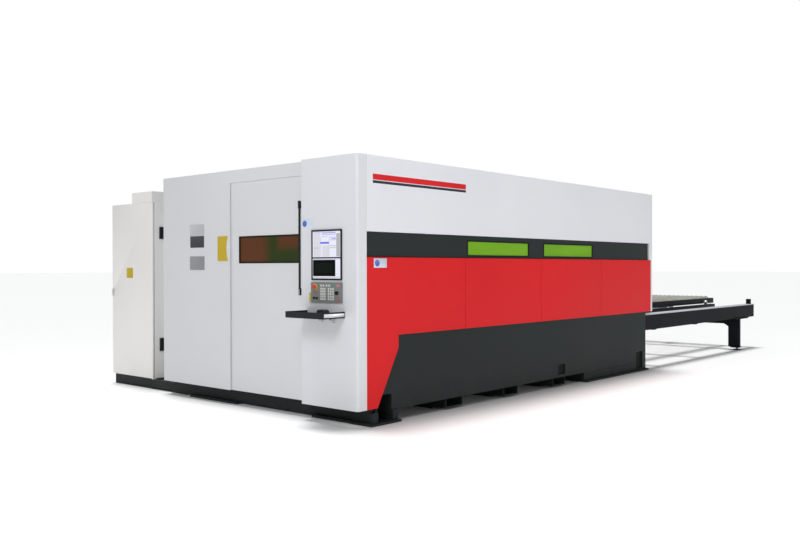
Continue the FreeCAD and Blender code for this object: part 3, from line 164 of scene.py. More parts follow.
toEnd, toSide, toBack, toTop = (-1, 0, 0), (0, -1, 0), (0, 1, 0), (0, 0, 1)  # the ways that faces look
squareOn = 0.9  # how near a face has to look the wanted way
thinWall = 0.0002  # width of the wall round a sunk face
sharpAngle = math.radians(35.0)  # edges sharper than this are rounded


def clearSelection():
    if bpy.context.active_object and bpy.context.active_object.mode != "OBJECT":
        bpy.ops.object.mode_set(mode="OBJECT")
    bpy.ops.object.select_all(action="DESELECT")


def pickFaces(piece, wanted):
    # edit mode with only the wanted faces selected
    bpy.context.tool_settings.mesh_select_mode = (False, False, True)
    if piece.mode != "EDIT":
        bpy.ops.object.mode_set(mode="EDIT")
    bpy.ops.mesh.select_all(action="DESELECT")
    bpy.ops.object.mode_set(mode="OBJECT")
    for face in piece.data.polygons:
        face.select = wanted(face)
    bpy.ops.object.mode_set(mode="EDIT")


def facing(direction):
    aim = Vector(direction)
    return lambda face: face.normal.dot(aim) > squareOn


def insetPicked(border, rise=0.0):
    bpy.ops.mesh.inset(thickness=border, depth=rise)


def leaveEdit():
    bpy.ops.object.mode_set(mode="OBJECT")


def startBlock(name, low, high):
    clearSelection()
    low, high = Vector(low), Vector(high)
    bpy.ops.mesh.primitive_cube_add(size=1.0, location=(low + high) / 2.0)
    piece = bpy.context.active_object
    piece.name = piece.data.name = name
    piece.scale = high - low
    bpy.ops.object.transform_apply(location=True, rotation=True, scale=True)
    return piece


def startRound(name, centre, radius, depth, along, corners):
    clearSelection()
    turns = {"x": (0.0, math.pi / 2.0, 0.0), "y": (math.pi / 2.0, 0.0, 0.0), "z": (0.0, 0.0, 0.0)}
    bpy.ops.mesh.primitive_cylinder_add(vertices=corners, radius=radius, depth=depth, location=centre,
                                        rotation=turns[along])
    piece = bpy.context.active_object
    piece.name = piece.data.name = name
    bpy.ops.object.transform_apply(location=True, rotation=True, scale=True)
    return piece


def makeOnlyActive(piece):
    clearSelection()
    piece.select_set(True)
    bpy.context.view_layer.objects.active = piece


def roundEdges(piece, width, segments=2):
    makeOnlyActive(piece)
    bevel = piece.modifiers.new("roundEdges", "BEVEL")
    bevel.width = width
    bevel.segments = segments
    bevel.limit_method = "ANGLE"
    bevel.angle_limit = sharpAngle
    bevel.harden_normals = True
    bpy.ops.object.modifier_apply(modifier="roundEdges")
    bpy.ops.object.shade_smooth_by_angle(angle=sharpAngle)


def sinkFace(piece, direction, border, depth):
    # inset the faces that look one way, then push the inner face in
    pickFaces(piece, facing(direction))
    insetPicked(border)
    insetPicked(thinWall, -depth)
    leaveEdit()


def startSunk(name, low, high, direction, sink, segments=2):
    # block with one sunk face; a sink is the border, the depth and the soft edge
    piece = startBlock(name, low, high)
    sinkFace(piece, direction, sink[0], sink[1])
    roundEdges(piece, sink[2], segments)
    return piece


def openThrough(piece, direction, border):
    # turn a block or disc into a frame or ring
    forward = facing(direction)
    backward = facing([-c for c in direction])
    pickFaces(piece, lambda face: forward(face) or backward(face))
    insetPicked(border)
    bpy.ops.mesh.bridge_edge_loops()
    leaveEdit()


def joinPieces(name, pieces):
    clearSelection()
    for piece in pieces:
        piece.select_set(True)
    bpy.context.view_layer.objects.active = pieces[0]
    if len(pieces) > 1:
        bpy.ops.object.join()
    whole = bpy.context.active_object
    whole.name = whole.data.name = name
    return whole


def copyTo(piece, offset):
    twin = piece.copy()
    twin.data = piece.data.copy()
    twin.data.transform(Matrix.Translation(offset))
    bpy.context.scene.collection.objects.link(twin)
    return twin


def finishPiece(piece, material, body="machine"):
    makeOnlyActive(piece)
    bpy.ops.object.transform_apply(location=True, rotation=True, scale=True)
    piece.data.materials.clear()
    piece.data.materials.append(finishes[material])
    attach(piece, body)
    return piece


# shader node groups that several finishes share

def startGroup(name, inputs, outputs):
    group = bpy.data.node_groups.new(name, "ShaderNodeTree")
    group.interface.new_socket(name="Vector", in_out="INPUT", socket_type="NodeSocketVector")
    for label, value in inputs.items():
        kind = "NodeSocketVector" if isinstance(value, tuple) else "NodeSocketFloat"
        group.interface.new_socket(name=label, in_out="INPUT", socket_type=kind).default_value = value
    for label in outputs:
        group.interface.new_socket(name=label, in_out="OUTPUT", socket_type="NodeSocketFloat")
    return group, group.nodes.new("NodeGroupInput"), group.nodes.new("NodeGroupOutput")


def feed(tree, value, socket):
    # a number or a colour is set on the socket, another node's output is linked to it
    if isinstance(value, (int, float, tuple)):
        socket.default_value = value
    else:
        tree.links.new(value, socket)


def addMath(tree, operation, *values):
    node = tree.nodes.new("ShaderNodeMath")
    node.operation = operation
    for value, socket in zip(values, node.inputs):
        feed(tree, value, socket)
    return node.outputs[0]


def addNoise(tree, vector, scale, detail, roughness=0.5):
    noise = tree.nodes.new("ShaderNodeTexNoise")
    noise.inputs["Detail"].default_value = detail
    noise.inputs["Roughness"].default_value = roughness
    tree.links.new(vector, noise.inputs["Vector"])
    feed(tree, scale, noise.inputs["Scale"])
    return noise.outputs["Fac"]


def addRange(tree, value, fromLow, fromHigh, toLow=0.0, toHigh=1.0):
    node = tree.nodes.new("ShaderNodeMapRange")
    node.interpolation_type = "SMOOTHSTEP"
    tree.links.new(value, node.inputs["Value"])
    limits = {"From Min": fromLow, "From Max": fromHigh, "To Min": toLow, "To Max": toHigh}
    for label, number in limits.items():
        feed(tree, number, node.inputs[label])
    return node.outputs["Result"]


def makeCoatGroup():
    # powder coat: fine orange peel, soft waviness of the sheet, cloudy tone
    group, given, out = startGroup("sprayedCoat", {"Peel Scale": 420.0, "Wave Scale": 2.2, "Wave Share": 0.6},
                                   ["Height", "Tone", "Speckle"])
    vector = given.outputs["Vector"]
    peel = addNoise(group, vector, given.outputs["Peel Scale"], 2.0)
    wave = addNoise(group, vector, given.outputs["Wave Scale"], 1.0)
    cloud = addNoise(group, vector, 0.9, 4.0, 0.6)
    height = addMath(group, "MULTIPLY_ADD", wave, given.outputs["Wave Share"], peel)
    speckle = addRange(group, addNoise(group, vector, 160.0, 4.0, 0.7), 0.6, 0.75)
    group.links.new(height, out.inputs["Height"])
    group.links.new(addRange(group, cloud, 0.3, 0.7), out.inputs["Tone"])
    group.links.new(speckle, out.inputs["Speckle"])
    return group


def makeDustGroup():
    # workshop dust: thicker near the floor and in drifts
    group, given, out = startGroup("settledDust", {"Reach": 0.5}, ["Mask"])
    parts = group.nodes.new("ShaderNodeSeparateXYZ")
    group.links.new(given.outputs["Vector"], parts.inputs["Vector"])
    low = addMath(group, "DIVIDE", parts.outputs["Z"], given.outputs["Reach"])
    near = addRange(group, low, 0.0, 1.0, 1.0, 0.0)
    drift = addNoise(group, given.outputs["Vector"], 6.0, 6.0, 0.65)
    grain = addNoise(group, given.outputs["Vector"], 90.0, 3.0, 0.7)
    spots = addMath(group, "MULTIPLY", addRange(group, drift, 0.35, 0.7), addRange(group, grain, 0.3, 0.75))
    group.links.new(addMath(group, "MULTIPLY", near, spots), out.inputs["Mask"])
    return group


def makeBrushGroup():
    # brushed or drawn metal: streaks along one axis, set by the stretch
    group, given, out = startGroup("drawnLines", {"Stretch": (4.0, 300.0, 300.0), "Stain Scale": 7.0},
                                   ["Height", "Tone", "Stain"])
    scaled = group.nodes.new("ShaderNodeVectorMath")
    scaled.operation = "MULTIPLY"
    group.links.new(given.outputs["Vector"], scaled.inputs[0])
    group.links.new(given.outputs["Stretch"], scaled.inputs[1])
    streak = addNoise(group, scaled.outputs["Vector"], 1.0, 3.0, 0.6)
    stain = addNoise(group, given.outputs["Vector"], given.outputs["Stain Scale"], 5.0, 0.6)
    group.links.new(streak, out.inputs["Height"])
    group.links.new(addRange(group, streak, 0.3, 0.7), out.inputs["Tone"])
    group.links.new(addRange(group, stain, 0.45, 0.7), out.inputs["Stain"])
    return group


def makeScratchGroup():
    # thin straight scratches in two directions
    group, given, out = startGroup("handlingScratches", {"Scale": 8.0, "Width": 0.012}, ["Mask"])
    marks = []
    for angle, squeeze in ((0.35, 0.12), (-0.8, 0.16)):
        mapping = group.nodes.new("ShaderNodeMapping")
        mapping.inputs["Rotation"].default_value = (angle, angle * 0.7, angle)
        mapping.inputs["Scale"].default_value = (1.0, squeeze, squeeze)
        group.links.new(given.outputs["Vector"], mapping.inputs["Vector"])
        cells = group.nodes.new("ShaderNodeTexVoronoi")
        cells.feature = "DISTANCE_TO_EDGE"
        group.links.new(mapping.outputs["Vector"], cells.inputs["Vector"])
        group.links.new(given.outputs["Scale"], cells.inputs["Scale"])
        line = addRange(group, cells.outputs["Distance"], 0.0, given.outputs["Width"], 1.0, 0.0)
        broken = addRange(group, addNoise(group, given.outputs["Vector"], 14.0, 2.0), 0.55, 0.65)
        marks.append(addMath(group, "MULTIPLY", line, broken))
    group.links.new(addMath(group, "MAXIMUM", marks[0], marks[1]), out.inputs["Mask"])
    return group


sharedGroups = {
    "coat": makeCoatGroup(),
    "dust": makeDustGroup(),
    "brush": makeBrushGroup(),
    "scratch": makeScratchGroup(),
}
finishes = {}


def placeGroup(tree, kind, **values):
    node = tree.nodes.new("ShaderNodeGroup")
    node.node_tree = sharedGroups[kind]
    coords = tree.nodes.get("objectCoords")
    if coords is None:
        coords = tree.nodes.new("ShaderNodeTexCoord")
        coords.name = "objectCoords"
    tree.links.new(coords.outputs["Object"], node.inputs["Vector"])
    for label, value in values.items():
        node.inputs[label].default_value = value
    return node


def addMix(tree, share, first, second):
    mix = tree.nodes.new("ShaderNodeMix")
    mix.data_type = "RGBA"
    usable = [s for s in mix.inputs if s.enabled and (s.type == "RGBA" or s.name == "Factor")]
    for label, value in (("Factor", share), ("A", first), ("B", second)):
        feed(tree, value, next(s for s in usable if s.name == label))
    return next(s for s in mix.outputs if s.type == "RGBA")


def addLayer(tree, mask, share, base, colour):
    # a colour over the base where the mask is bright, as strong as the share
    return addMix(tree, addMath(tree, "MULTIPLY", mask, share), base, colour)


def shade(colour, share):
    return tuple(c * share for c in colour[:3]) + (1.0,)


def startFinish(name):
    material = bpy.data.materials.new(name)
    material.use_nodes = True
    finishes[name] = material
    return material.node_tree, material.node_tree.nodes["Principled BSDF"]


def splitPlace(tree):
    parts = tree.nodes.new("ShaderNodeSeparateXYZ")
    tree.links.new(tree.nodes["objectCoords"].outputs["Object"], parts.inputs["Vector"])
    return parts.outputs


def followTone(tree, tone, swing, roughness):
    # roughness that moves with the tone by a swing about its middle
    return addMath(tree, "MULTIPLY_ADD", tone, swing, roughness - swing / 2.0)


def closeFinish(tree, shader, base, rough, height, depth, sheen=0.5):
    tree.links.new(base, shader.inputs["Base Color"])
    tree.links.new(rough, shader.inputs["Roughness"])
    shader.inputs["Specular IOR Level"].default_value = sheen
    bump = tree.nodes.new("ShaderNodeBump")
    bump.inputs["Distance"].default_value = depth
    bump.inputs["Strength"].default_value = 1.0
    tree.links.new(height, bump.inputs["Height"])
    tree.links.new(bump.outputs["Normal"], shader.inputs["Normal"])


def addGlow(tree, shader, base, strength):
    tree.links.new(base, shader.inputs["Emission Color"])
    shader.inputs["Emission Strength"].default_value = strength


grain = {  # bump depth in metres, and how far the tone moves the roughness, for each kind of finish
    "paint": {"depth": 0.00025, "swing": 0.08, "scratch": 1.35, "dustRough": 0.5},
    "metal": {"depth": 0.0002, "swing": 0.14, "dark": 0.86, "pale": 1.08, "stain": 0.55, "stainRough": 0.12,
              "scratch": 1.3, "scratchShare": 0.4, "scratchScale": 14.0},
    "plastic": {"depth": 0.0002, "swing": 0.1, "waves": 0.1, "speckle": 1.5, "speckleShare": 0.15},
    "pane": {"depth": 0.0001, "swing": 0.06, "peel": 60.0, "waves": 1.4, "roughness": 0.15,
             "paintedShadePatches": (0.44, 0.56), "scratch": 2.0, "scratchShare": 0.08, "scratchScale": 20.0},
}
dustColour = (0.304987, 0.287441, 0.254152, 1.0)
stripeBlur = 0.0005
amberZone = {  # shares of the pane's width and height between which the second colour, painted shade of the room behind, fades
    "lean": 0.12, "across": (0.42, 0.66), "down": (0.30, 0.80), "middle": (0.28, 0.42),
}


def makePaint(name, colour, roughness, spread, dust, dustReach=0.5, scratches=0.1, sheen=0.35, second=None,
              stripe=None):
    # sprayed sheet metal; a second colour may run between two heights, as a painted highlight along a beam's
    # top edge
    look = grain["paint"]
    tree, shader = startFinish(name)
    coat = placeGroup(tree, "coat")
    base = addMix(tree, coat.outputs["Tone"], shade(colour, 1.0 - spread), shade(colour, 1.0 + spread))
    # the band between the two heights is a painted highlight
    if second:
        height = splitPlace(tree)["Z"]
        low, high = stripe
        above = addRange(tree, height, low - stripeBlur, low + stripeBlur)
        below = addRange(tree, height, high + stripeBlur, high + 3.0 * stripeBlur, 1.0, 0.0)
        base = addLayer(tree, above, below, base, second)
    wear = placeGroup(tree, "scratch")
    base = addLayer(tree, wear.outputs["Mask"], scratches, base, shade(colour, look["scratch"]))
    drift = placeGroup(tree, "dust", Reach=dustReach)
    mask = addMath(tree, "MULTIPLY", drift.outputs["Mask"], dust)
    base = addMix(tree, mask, base, dustColour)
    rough = followTone(tree, coat.outputs["Tone"], look["swing"], roughness)
    rough = addMath(tree, "ADD", rough, addMath(tree, "MULTIPLY", mask, look["dustRough"]))
    closeFinish(tree, shader, base, rough, coat.outputs["Height"], look["depth"], sheen)


def makeMetal(name, colour, roughness, lines=(4.0, 260.0, 260.0), stain=0.35, stainColour=None, metallic=1.0):
    look = grain["metal"]
    tree, shader = startFinish(name)
    brush = placeGroup(tree, "brush", Stretch=lines)
    base = addMix(tree, brush.outputs["Tone"], shade(colour, look["dark"]), shade(colour, look["pale"]))
    base = addLayer(tree, brush.outputs["Stain"], stain, base, stainColour or shade(colour, look["stain"]))
    wear = placeGroup(tree, "scratch", Scale=look["scratchScale"])
    base = addLayer(tree, wear.outputs["Mask"], look["scratchShare"], base, shade(colour, look["scratch"]))
    shader.inputs["Metallic"].default_value = metallic
    rough = followTone(tree, brush.outputs["Tone"], look["swing"], roughness)
    rough = addMath(tree, "MULTIPLY_ADD", brush.outputs["Stain"], look["stainRough"], rough)
    closeFinish(tree, shader, base, rough, brush.outputs["Height"], look["depth"])


def makePlastic(name, colour, roughness, peel=520.0, spread=0.06, sheen=0.5, glow=0.0):
    look = grain["plastic"]
    tree, shader = startFinish(name)
    coat = placeGroup(tree, "coat", **{"Peel Scale": peel, "Wave Share": look["waves"]})
    base = addMix(tree, coat.outputs["Tone"], shade(colour, 1.0 - spread), shade(colour, 1.0 + spread))
    base = addLayer(tree, coat.outputs["Speckle"], look["speckleShare"], base, shade(colour, look["speckle"]))
    rough = followTone(tree, coat.outputs["Tone"], look["swing"], roughness)
    if glow:
        addGlow(tree, shader, base, glow)
    closeFinish(tree, shader, base, rough, coat.outputs["Height"], look["depth"], sheen)


def makePane(name, first, second, scale, glow, sheen, zone=None):
    # laser-safe acrylic: deep colour with the dim room behind it painted in as soft patches of light and
    # shade, or, with a zone of two corners in the Y-Z plane, the second colour in that zone as painted shade
    # of the room behind; the glow is painted light
    look = grain["pane"]
    tree, shader = startFinish(name)
    coat = placeGroup(tree, "coat", **{"Peel Scale": look["peel"], "Wave Scale": look["waves"]})
    mapping = tree.nodes.new("ShaderNodeMapping")
    mapping.inputs["Scale"].default_value = scale
    tree.links.new(tree.nodes["objectCoords"].outputs["Object"], mapping.inputs["Vector"])
    # soft patches of painted light and shade standing for the dim room behind the pane
    paintedShadePatches = addRange(tree, addNoise(tree, mapping.outputs["Vector"], 1.0, 1.5), *look["paintedShadePatches"])
    if zone:
        (left, low), (right, high) = zone
        place = splitPlace(tree)
        width, height = right - left, high - low
        lean = addMath(tree, "MULTIPLY_ADD", paintedShadePatches, amberZone["lean"] * height, place["Z"])
        across = addRange(tree, place["Y"], *(left + width * s for s in amberZone["across"]), 1.0, 0.0)
        down = addRange(tree, lean, *(low + height * s for s in amberZone["down"]), 1.0, 0.0)
        middle = addRange(tree, place["Y"], *(left + width * s for s in amberZone["middle"]))
        paintedShadePatches = addMath(tree, "MULTIPLY", across, addMath(tree, "MAXIMUM", down, middle))
    base = addMix(tree, paintedShadePatches, first, second)
    wear = placeGroup(tree, "scratch", Scale=look["scratchScale"])
    base = addLayer(tree, wear.outputs["Mask"], look["scratchShare"], base, shade(second, look["scratch"]))
    rough = followTone(tree, coat.outputs["Tone"], look["swing"], look["roughness"])
    # the glow is painted light: the pane is no lamp
    addGlow(tree, shader, base, glow)
    closeFinish(tree, shader, base, rough, coat.outputs["Height"], look["depth"], sheen)


stopHeight, paintedHighlightHeight = 0.080, 0.012  # the end stops' rise over the table, the height of the painted highlight along the beams' top edge
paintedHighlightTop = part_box("table_beams")[1].z - stopHeight  # top of the painted highlight along the table beams' edge

makePaint("whiteCoat", (0.735, 0.75, 0.785, 1.0), 0.42, spread=0.012, dust=0.10, scratches=0.03)
# cornerShadedWhite and endShadedWhite are the hall's white paint darkened as painted shade for the end face,
# which gets less light; the corner a little less dark
makePaint("cornerShadedWhite", (0.665, 0.68, 0.71, 1.0), 0.42, spread=0.012, dust=0.08, scratches=0.03)
makePaint("endShadedWhite", (0.66, 0.668, 0.685, 1.0), 0.45, spread=0.012, dust=0.08, scratches=0.03)
makePaint("cabinetCoat", (0.85, 0.835, 0.82, 1.0), 0.45, spread=0.015, dust=0.12, scratches=0.04)
makePaint("redCoat", (0.66, 0.010, 0.013, 1.0), 0.40, spread=0.03, dust=0.0, scratches=0.02, sheen=0.12)
makePaint("darkCoat", (0.0165, 0.0215, 0.0215, 1.0), 0.48, spread=0.10, dust=0.05, scratches=0.06, sheen=0.12)
makePaint("bandCoat", (0.0175, 0.0225, 0.0235, 1.0), 0.42, spread=0.06, dust=0.02, sheen=0.12)
# the pale second colour is a painted highlight along the table beams' top edge
makePaint("tableCoat", (0.0055, 0.0068, 0.0095, 1.0), 0.5, spread=0.10, dust=0.03, dustReach=0.9, sheen=0.06,
          second=(0.50, 0.51, 0.54, 1.0), stripe=(paintedHighlightTop - paintedHighlightHeight, paintedHighlightTop))
makePaint("palletCoat", (0.020, 0.021, 0.026, 1.0), 0.5, spread=0.15, dust=0.05, dustReach=1.0, sheen=0.15)
makePaint("bedCoat", (0.22, 0.24, 0.26, 1.0), 0.5, spread=0.06, dust=0.4, dustReach=1.0)
makePaint("consoleCoat", (0.19, 0.205, 0.20, 1.0), 0.5, spread=0.04, dust=0.0)
makeMetal("machinedSteel", (0.52, 0.52, 0.53, 1.0), 0.32)
makeMetal("slatSteel", (0.84, 0.83, 0.76, 1.0), 0.5, lines=(200.0, 6.0, 200.0), stain=0.3,
          stainColour=(0.50, 0.43, 0.30, 1.0), metallic=0.1)
makeMetal("paleAluminium", (0.80, 0.81, 0.83, 1.0), 0.36, stain=0.15)
makeMetal("plateMetal", (0.50, 0.52, 0.54, 1.0), 0.45, lines=(300.0, 8.0, 300.0), stain=0.1, metallic=0.5)
makePlastic("blackPlastic", (0.012, 0.013, 0.015, 1.0), 0.42, sheen=0.2)
makePlastic("blackRubber", (0.010, 0.010, 0.011, 1.0), 0.75, peel=300.0, sheen=0.15)
makePlastic("softBlack", (0.014, 0.020, 0.022, 1.0), 0.55, sheen=0.15)
makePlastic("keyWhite", (0.62, 0.64, 0.60, 1.0), 0.5)
makePlastic("signalRed", (0.62, 0.035, 0.045, 1.0), 0.3)
makePlastic("signalYellow", (0.75, 0.47, 0.03, 1.0), 0.4)
makePlastic("signalGreen", (0.03, 0.30, 0.14, 1.0), 0.3)
makePlastic("plateYellow", (0.55, 0.40, 0.028, 1.0), 0.5, sheen=0.2)
makePlastic("platePale", (0.50, 0.515, 0.53, 1.0), 0.4)
makePlastic("plateBluePale", (0.62, 0.70, 0.82, 1.0), 0.4)
makePlastic("plateDark", (0.055, 0.06, 0.072, 1.0), 0.5, sheen=0.2)
makePlastic("plateGrey", (0.26, 0.275, 0.29, 1.0), 0.5, sheen=0.3)
makePlastic("stripeRed", (0.66, 0.012, 0.016, 1.0), 0.4, sheen=0.2)
makePlastic("stripeDark", (0.03, 0.035, 0.05, 1.0), 0.4, sheen=0.2)
makePlastic("discBlue", (0.08, 0.14, 0.50, 1.0), 0.35)
makePlastic("screenWhite", (0.76, 0.765, 0.87, 1.0), 0.25, spread=0.02, glow=0.12)
makePlastic("screenPale", (0.64, 0.65, 0.72, 1.0), 0.25, spread=0.02, glow=0.1)
makePlastic("screenGrey", (0.42, 0.43, 0.46, 1.0), 0.25, glow=0.1)
makePlastic("screenDivider", (0.03, 0.03, 0.035, 1.0), 0.3, sheen=0.1)
makePlastic("screenBlue", (0.10, 0.13, 0.62, 1.0), 0.25, glow=0.25)
makePlastic("screenLilac", (0.42, 0.42, 0.72, 1.0), 0.25, glow=0.15)
makePlastic("screenDark", (0.002, 0.003, 0.003, 1.0), 0.3, sheen=0.05)
makePlastic("screenMoss", (0.0045, 0.0085, 0.0055, 1.0), 0.3, sheen=0.06)
makePlastic("displayRose", (0.55, 0.16, 0.18, 1.0), 0.3, glow=0.1)
# both panes' patches and glow are painted light and shade of the room behind them
makePane("greenAcrylic", (0.145, 0.350, 0.014, 1.0), (0.165, 0.380, 0.018, 1.0), (0.8, 1.0, 6.0), glow=0.08,
         sheen=0.15)
paneCorners = [(corner.y, corner.z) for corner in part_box("door_window")]
makePane("amberAcrylic", (0.098, 0.036, 0.016, 1.0), (0.026, 0.040, 0.010, 1.0), (1.0, 2.1, 3.0), glow=0.10,
         sheen=0.12, zone=paneCorners)
print("finishes made:", len(finishes))

nodeFinishes = {
    "whiteCoat": ["upper_side_panel", "rear_end_panel", "back_panels", "roof_panels", "lift_gate",
                  "maintenance_door"],
    # the end face's panels take the darker copies of the white paint: painted shade
    "cornerShadedWhite": ["corner_panel"],
    "endShadedWhite": ["left_end_panel", "sliding_door"],
    "cabinetCoat": ["cabinet_shell", "cabinet_door", "cabinet_flap"],
    "redCoat": ["red_panels"],
    "darkCoat": ["front_skirt", "rear_skirt", "base_tubes", "bed_feet", "cabinet_plinth"],
    "tableCoat": ["table_beams", "table_cross_members", "table_legs"],
    "bandCoat": ["window_band"],
    "greenAcrylic": ["green_panes"],
    "amberAcrylic": ["door_window"],
    "blackPlastic": ["door_handle", "monitor", "cabinet_hinges", "left_selector", "right_selector",
                     "override_knob", "keyboard_tray", "gantry_motors"],
    "consoleCoat": ["console"],
    "signalRed": ["emergency_stop", "stop_button", "reset_button"],
    "signalGreen": ["start_button"],
    "machinedSteel": ["linear_guides", "drive_shaft", "pallet_1_near_wheels", "pallet_1_far_wheels",
                      "pallet_2_near_wheels", "pallet_2_far_wheels"],
    "bedCoat": ["bed_supports", "bed_beams", "scrap_trays", "drive_unit", "gantry_trucks", "laser_source"],
    "paleAluminium": ["cabinet_lock", "gantry_beam", "cross_carriage", "vertical_slide", "cutting_head"],
    "slatSteel": ["pallet_1_slats", "pallet_2_slats"],
    "palletCoat": ["pallet_1_frame", "pallet_2_frame", "pallet_tracks", "hall_frame"],
}
nodeEdges = {  # soft edge of each node in metres, where it isn't the usual one
    "usual": 0.0015,
    "corner_panel": 0.001, "left_end_panel": 0.002, "upper_side_panel": 0.001, "red_panels": 0.003,
    "sliding_door": 0.003, "cabinet_shell": 0.004, "cabinet_door": 0.004, "rear_end_panel": 0.003,
    "table_beams": 0.003, "base_tubes": 0.003, "green_panes": 0.001,
    "emergency_stop": 0.0, "left_selector": 0.0006, "right_selector": 0.0006, "start_button": 0.001,
    "stop_button": 0.001, "reset_button": 0.001, "override_knob": 0.0006, "door_window": 0.0008,
    "pallet_1_slats": 0.0, "pallet_2_slats": 0.0, "drive_shaft": 0.0,
}
nodeMesh = {"merge": 0.00001, "flatAngle": 0.5, "edgeAngle": 40.0}


def finishNodes():
    for finish, names in nodeFinishes.items():
        for name in names:
            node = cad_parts[name]
            node.data.materials.clear()
            node.data.materials.append(finishes[finish])
            width = nodeEdges.get(name, nodeEdges["usual"])
            if not width:
                continue
            weld = node.modifiers.new("closeMesh", "WELD")
            weld.merge_threshold = nodeMesh["merge"]
            flat = node.modifiers.new("flatFaces", "DECIMATE")
            flat.decimate_type = "DISSOLVE"
            flat.angle_limit = math.radians(nodeMesh["flatAngle"])
            bevel = node.modifiers.new("softEdges", "BEVEL")
            bevel.width = width
            bevel.segments = 2
            bevel.limit_method = "ANGLE"
            bevel.angle_limit = math.radians(nodeMesh["edgeAngle"])
            bevel.harden_normals = True


makeCamera()
makeWorld()
makeLights()
makeFloor()
bpy.context.scene.view_settings.view_transform = "Standard"
print("stage ready")


# sliding door: pull handle, window gasket

pullHandle = {  # a sink is the border, the depth and the soft edge of a sunk face
    "lip": 0.003, "bar": 0.014, "groove": 0.004, "grooveWall": 0.001, "grooveDepth": 0.0015, "edge": 0.0015,
    "capLength": 0.066, "stemLength": 0.060, "past": 0.002, "overlap": 0.003, "inset": 0.001,
    "capSink": (0.005, 0.001, 0.0015), "stemSink": (0.003, 0.0008, 0.0012),
}
clampLook = {
    "frame": 0.0014, "frameSink": (0.0025, 0.0008, 0.0008), "front": 0.0003, "side": 0.0035, "end": 0.006,
    "edge": 0.0004, "boltPlaces": (0.016, 0.044), "boltFront": 0.0004, "boltRadius": 0.0035,
    "boltDepth": 0.002, "boltSink": (0.0015, 0.0006),
}


def makePullHandle():
    look = pullHandle
    low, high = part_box("door_handle")
    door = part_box("sliding_door")[0].x
    lip, inset = look["lip"], look["inset"]
    left, right = low.y + lip, high.y - lip
    front, back = low.x + lip, low.x + lip + look["bar"]
    bar = startBlock("pullHandle", (front, left, low.z), (back, right, high.z))
    pickFaces(bar, lambda face: abs(face.normal.y) > squareOn)
    insetPicked(look["groove"])
    insetPicked(look["grooveWall"], -look["grooveDepth"])
    leaveEdit()
    roundEdges(bar, look["edge"], 3)
    capLow = high.z - look["capLength"]
    cap = startSunk("handleCap", (low.x, low.y, capLow), (back + look["past"], high.y, high.z), toEnd,
                    look["capSink"], 3)
    stems = []
    for start in (low.z, capLow):
        stems.append(startSunk("handleStem", (back - look["overlap"], left + inset, start + look["past"]),
                               (door, right - inset, start + look["stemLength"]), toTop, look["stemSink"]))
    whole = finishPiece(joinPieces("pullHandle", [bar, cap] + stems), "softBlack", "door")
    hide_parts("door_handle")

    # pale clamp plate in a dark frame at the lower end
    clamp = clampLook
    frameLow = Vector((front - clamp["frame"], left - clamp["frame"], low.z))
    frameHigh = Vector((back + look["past"], right + clamp["frame"], low.z + look["stemLength"]))
    surround = startSunk("clampFrame", frameLow, frameHigh, toEnd, clamp["frameSink"])
    finishPiece(surround, "blackPlastic", "door")
    side, end = clamp["side"], clamp["end"]
    pale = startBlock("handleClamp", (frameLow.x - clamp["front"], frameLow.y + side, low.z + end),
                      (front, frameHigh.y - side, frameHigh.z - end))
    roundEdges(pale, clamp["edge"])
    parts = [pale]
    for lift in clamp["boltPlaces"]:
        bolt = startRound("clampBolt", (frameLow.x - clamp["boltFront"], (left + right) / 2.0, low.z + lift),
                          clamp["boltRadius"], clamp["boltDepth"], "x", 20)
        sinkFace(bolt, toEnd, *clamp["boltSink"])
        parts.append(bolt)
    finishPiece(joinPieces("handleClamp", parts), "paleAluminium", "door")


windowGasket = {"front": 0.003, "behind": 0.004, "width": 0.012, "edge": 0.0015}
paneGasket = {
    "front": 0.003, "behind": 0.002, "width": 0.0119, "edge": 0.0012, "past": 0.007,
    "paneLength": 1.033, "secondStart": 1.035,  # the second is measured back from the far pane's end
}


def makeWindowGaskets():
    look = windowGasket
    low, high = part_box("door_window")
    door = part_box("sliding_door")[0].x
    gasket = startBlock("doorGasket", (door - look["front"], low.y, low.z),
                        (low.x + look["behind"], high.y, high.z))
    openThrough(gasket, toEnd, look["width"])
    roundEdges(gasket, look["edge"])
    finishPiece(gasket, "blackRubber", "door")
    look = paneGasket
    past = look["past"]
    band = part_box("window_band")[0].y
    low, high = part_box("green_panes")
    frames = []
    for start in (low.x, high.x - look["secondStart"]):
        piece = startBlock("paneGasket", (start - past, band - look["front"], low.z - past),
                           (start + look["paneLength"] + past, low.y + look["behind"], high.z + past))
        openThrough(piece, toSide, look["width"])
        roundEdges(piece, look["edge"])
        frames.append(piece)
    finishPiece(joinPieces("paneGaskets", frames), "blackRubber")


# monitor with its screen, in shares of the screen's width (from the left) and height (from the top)

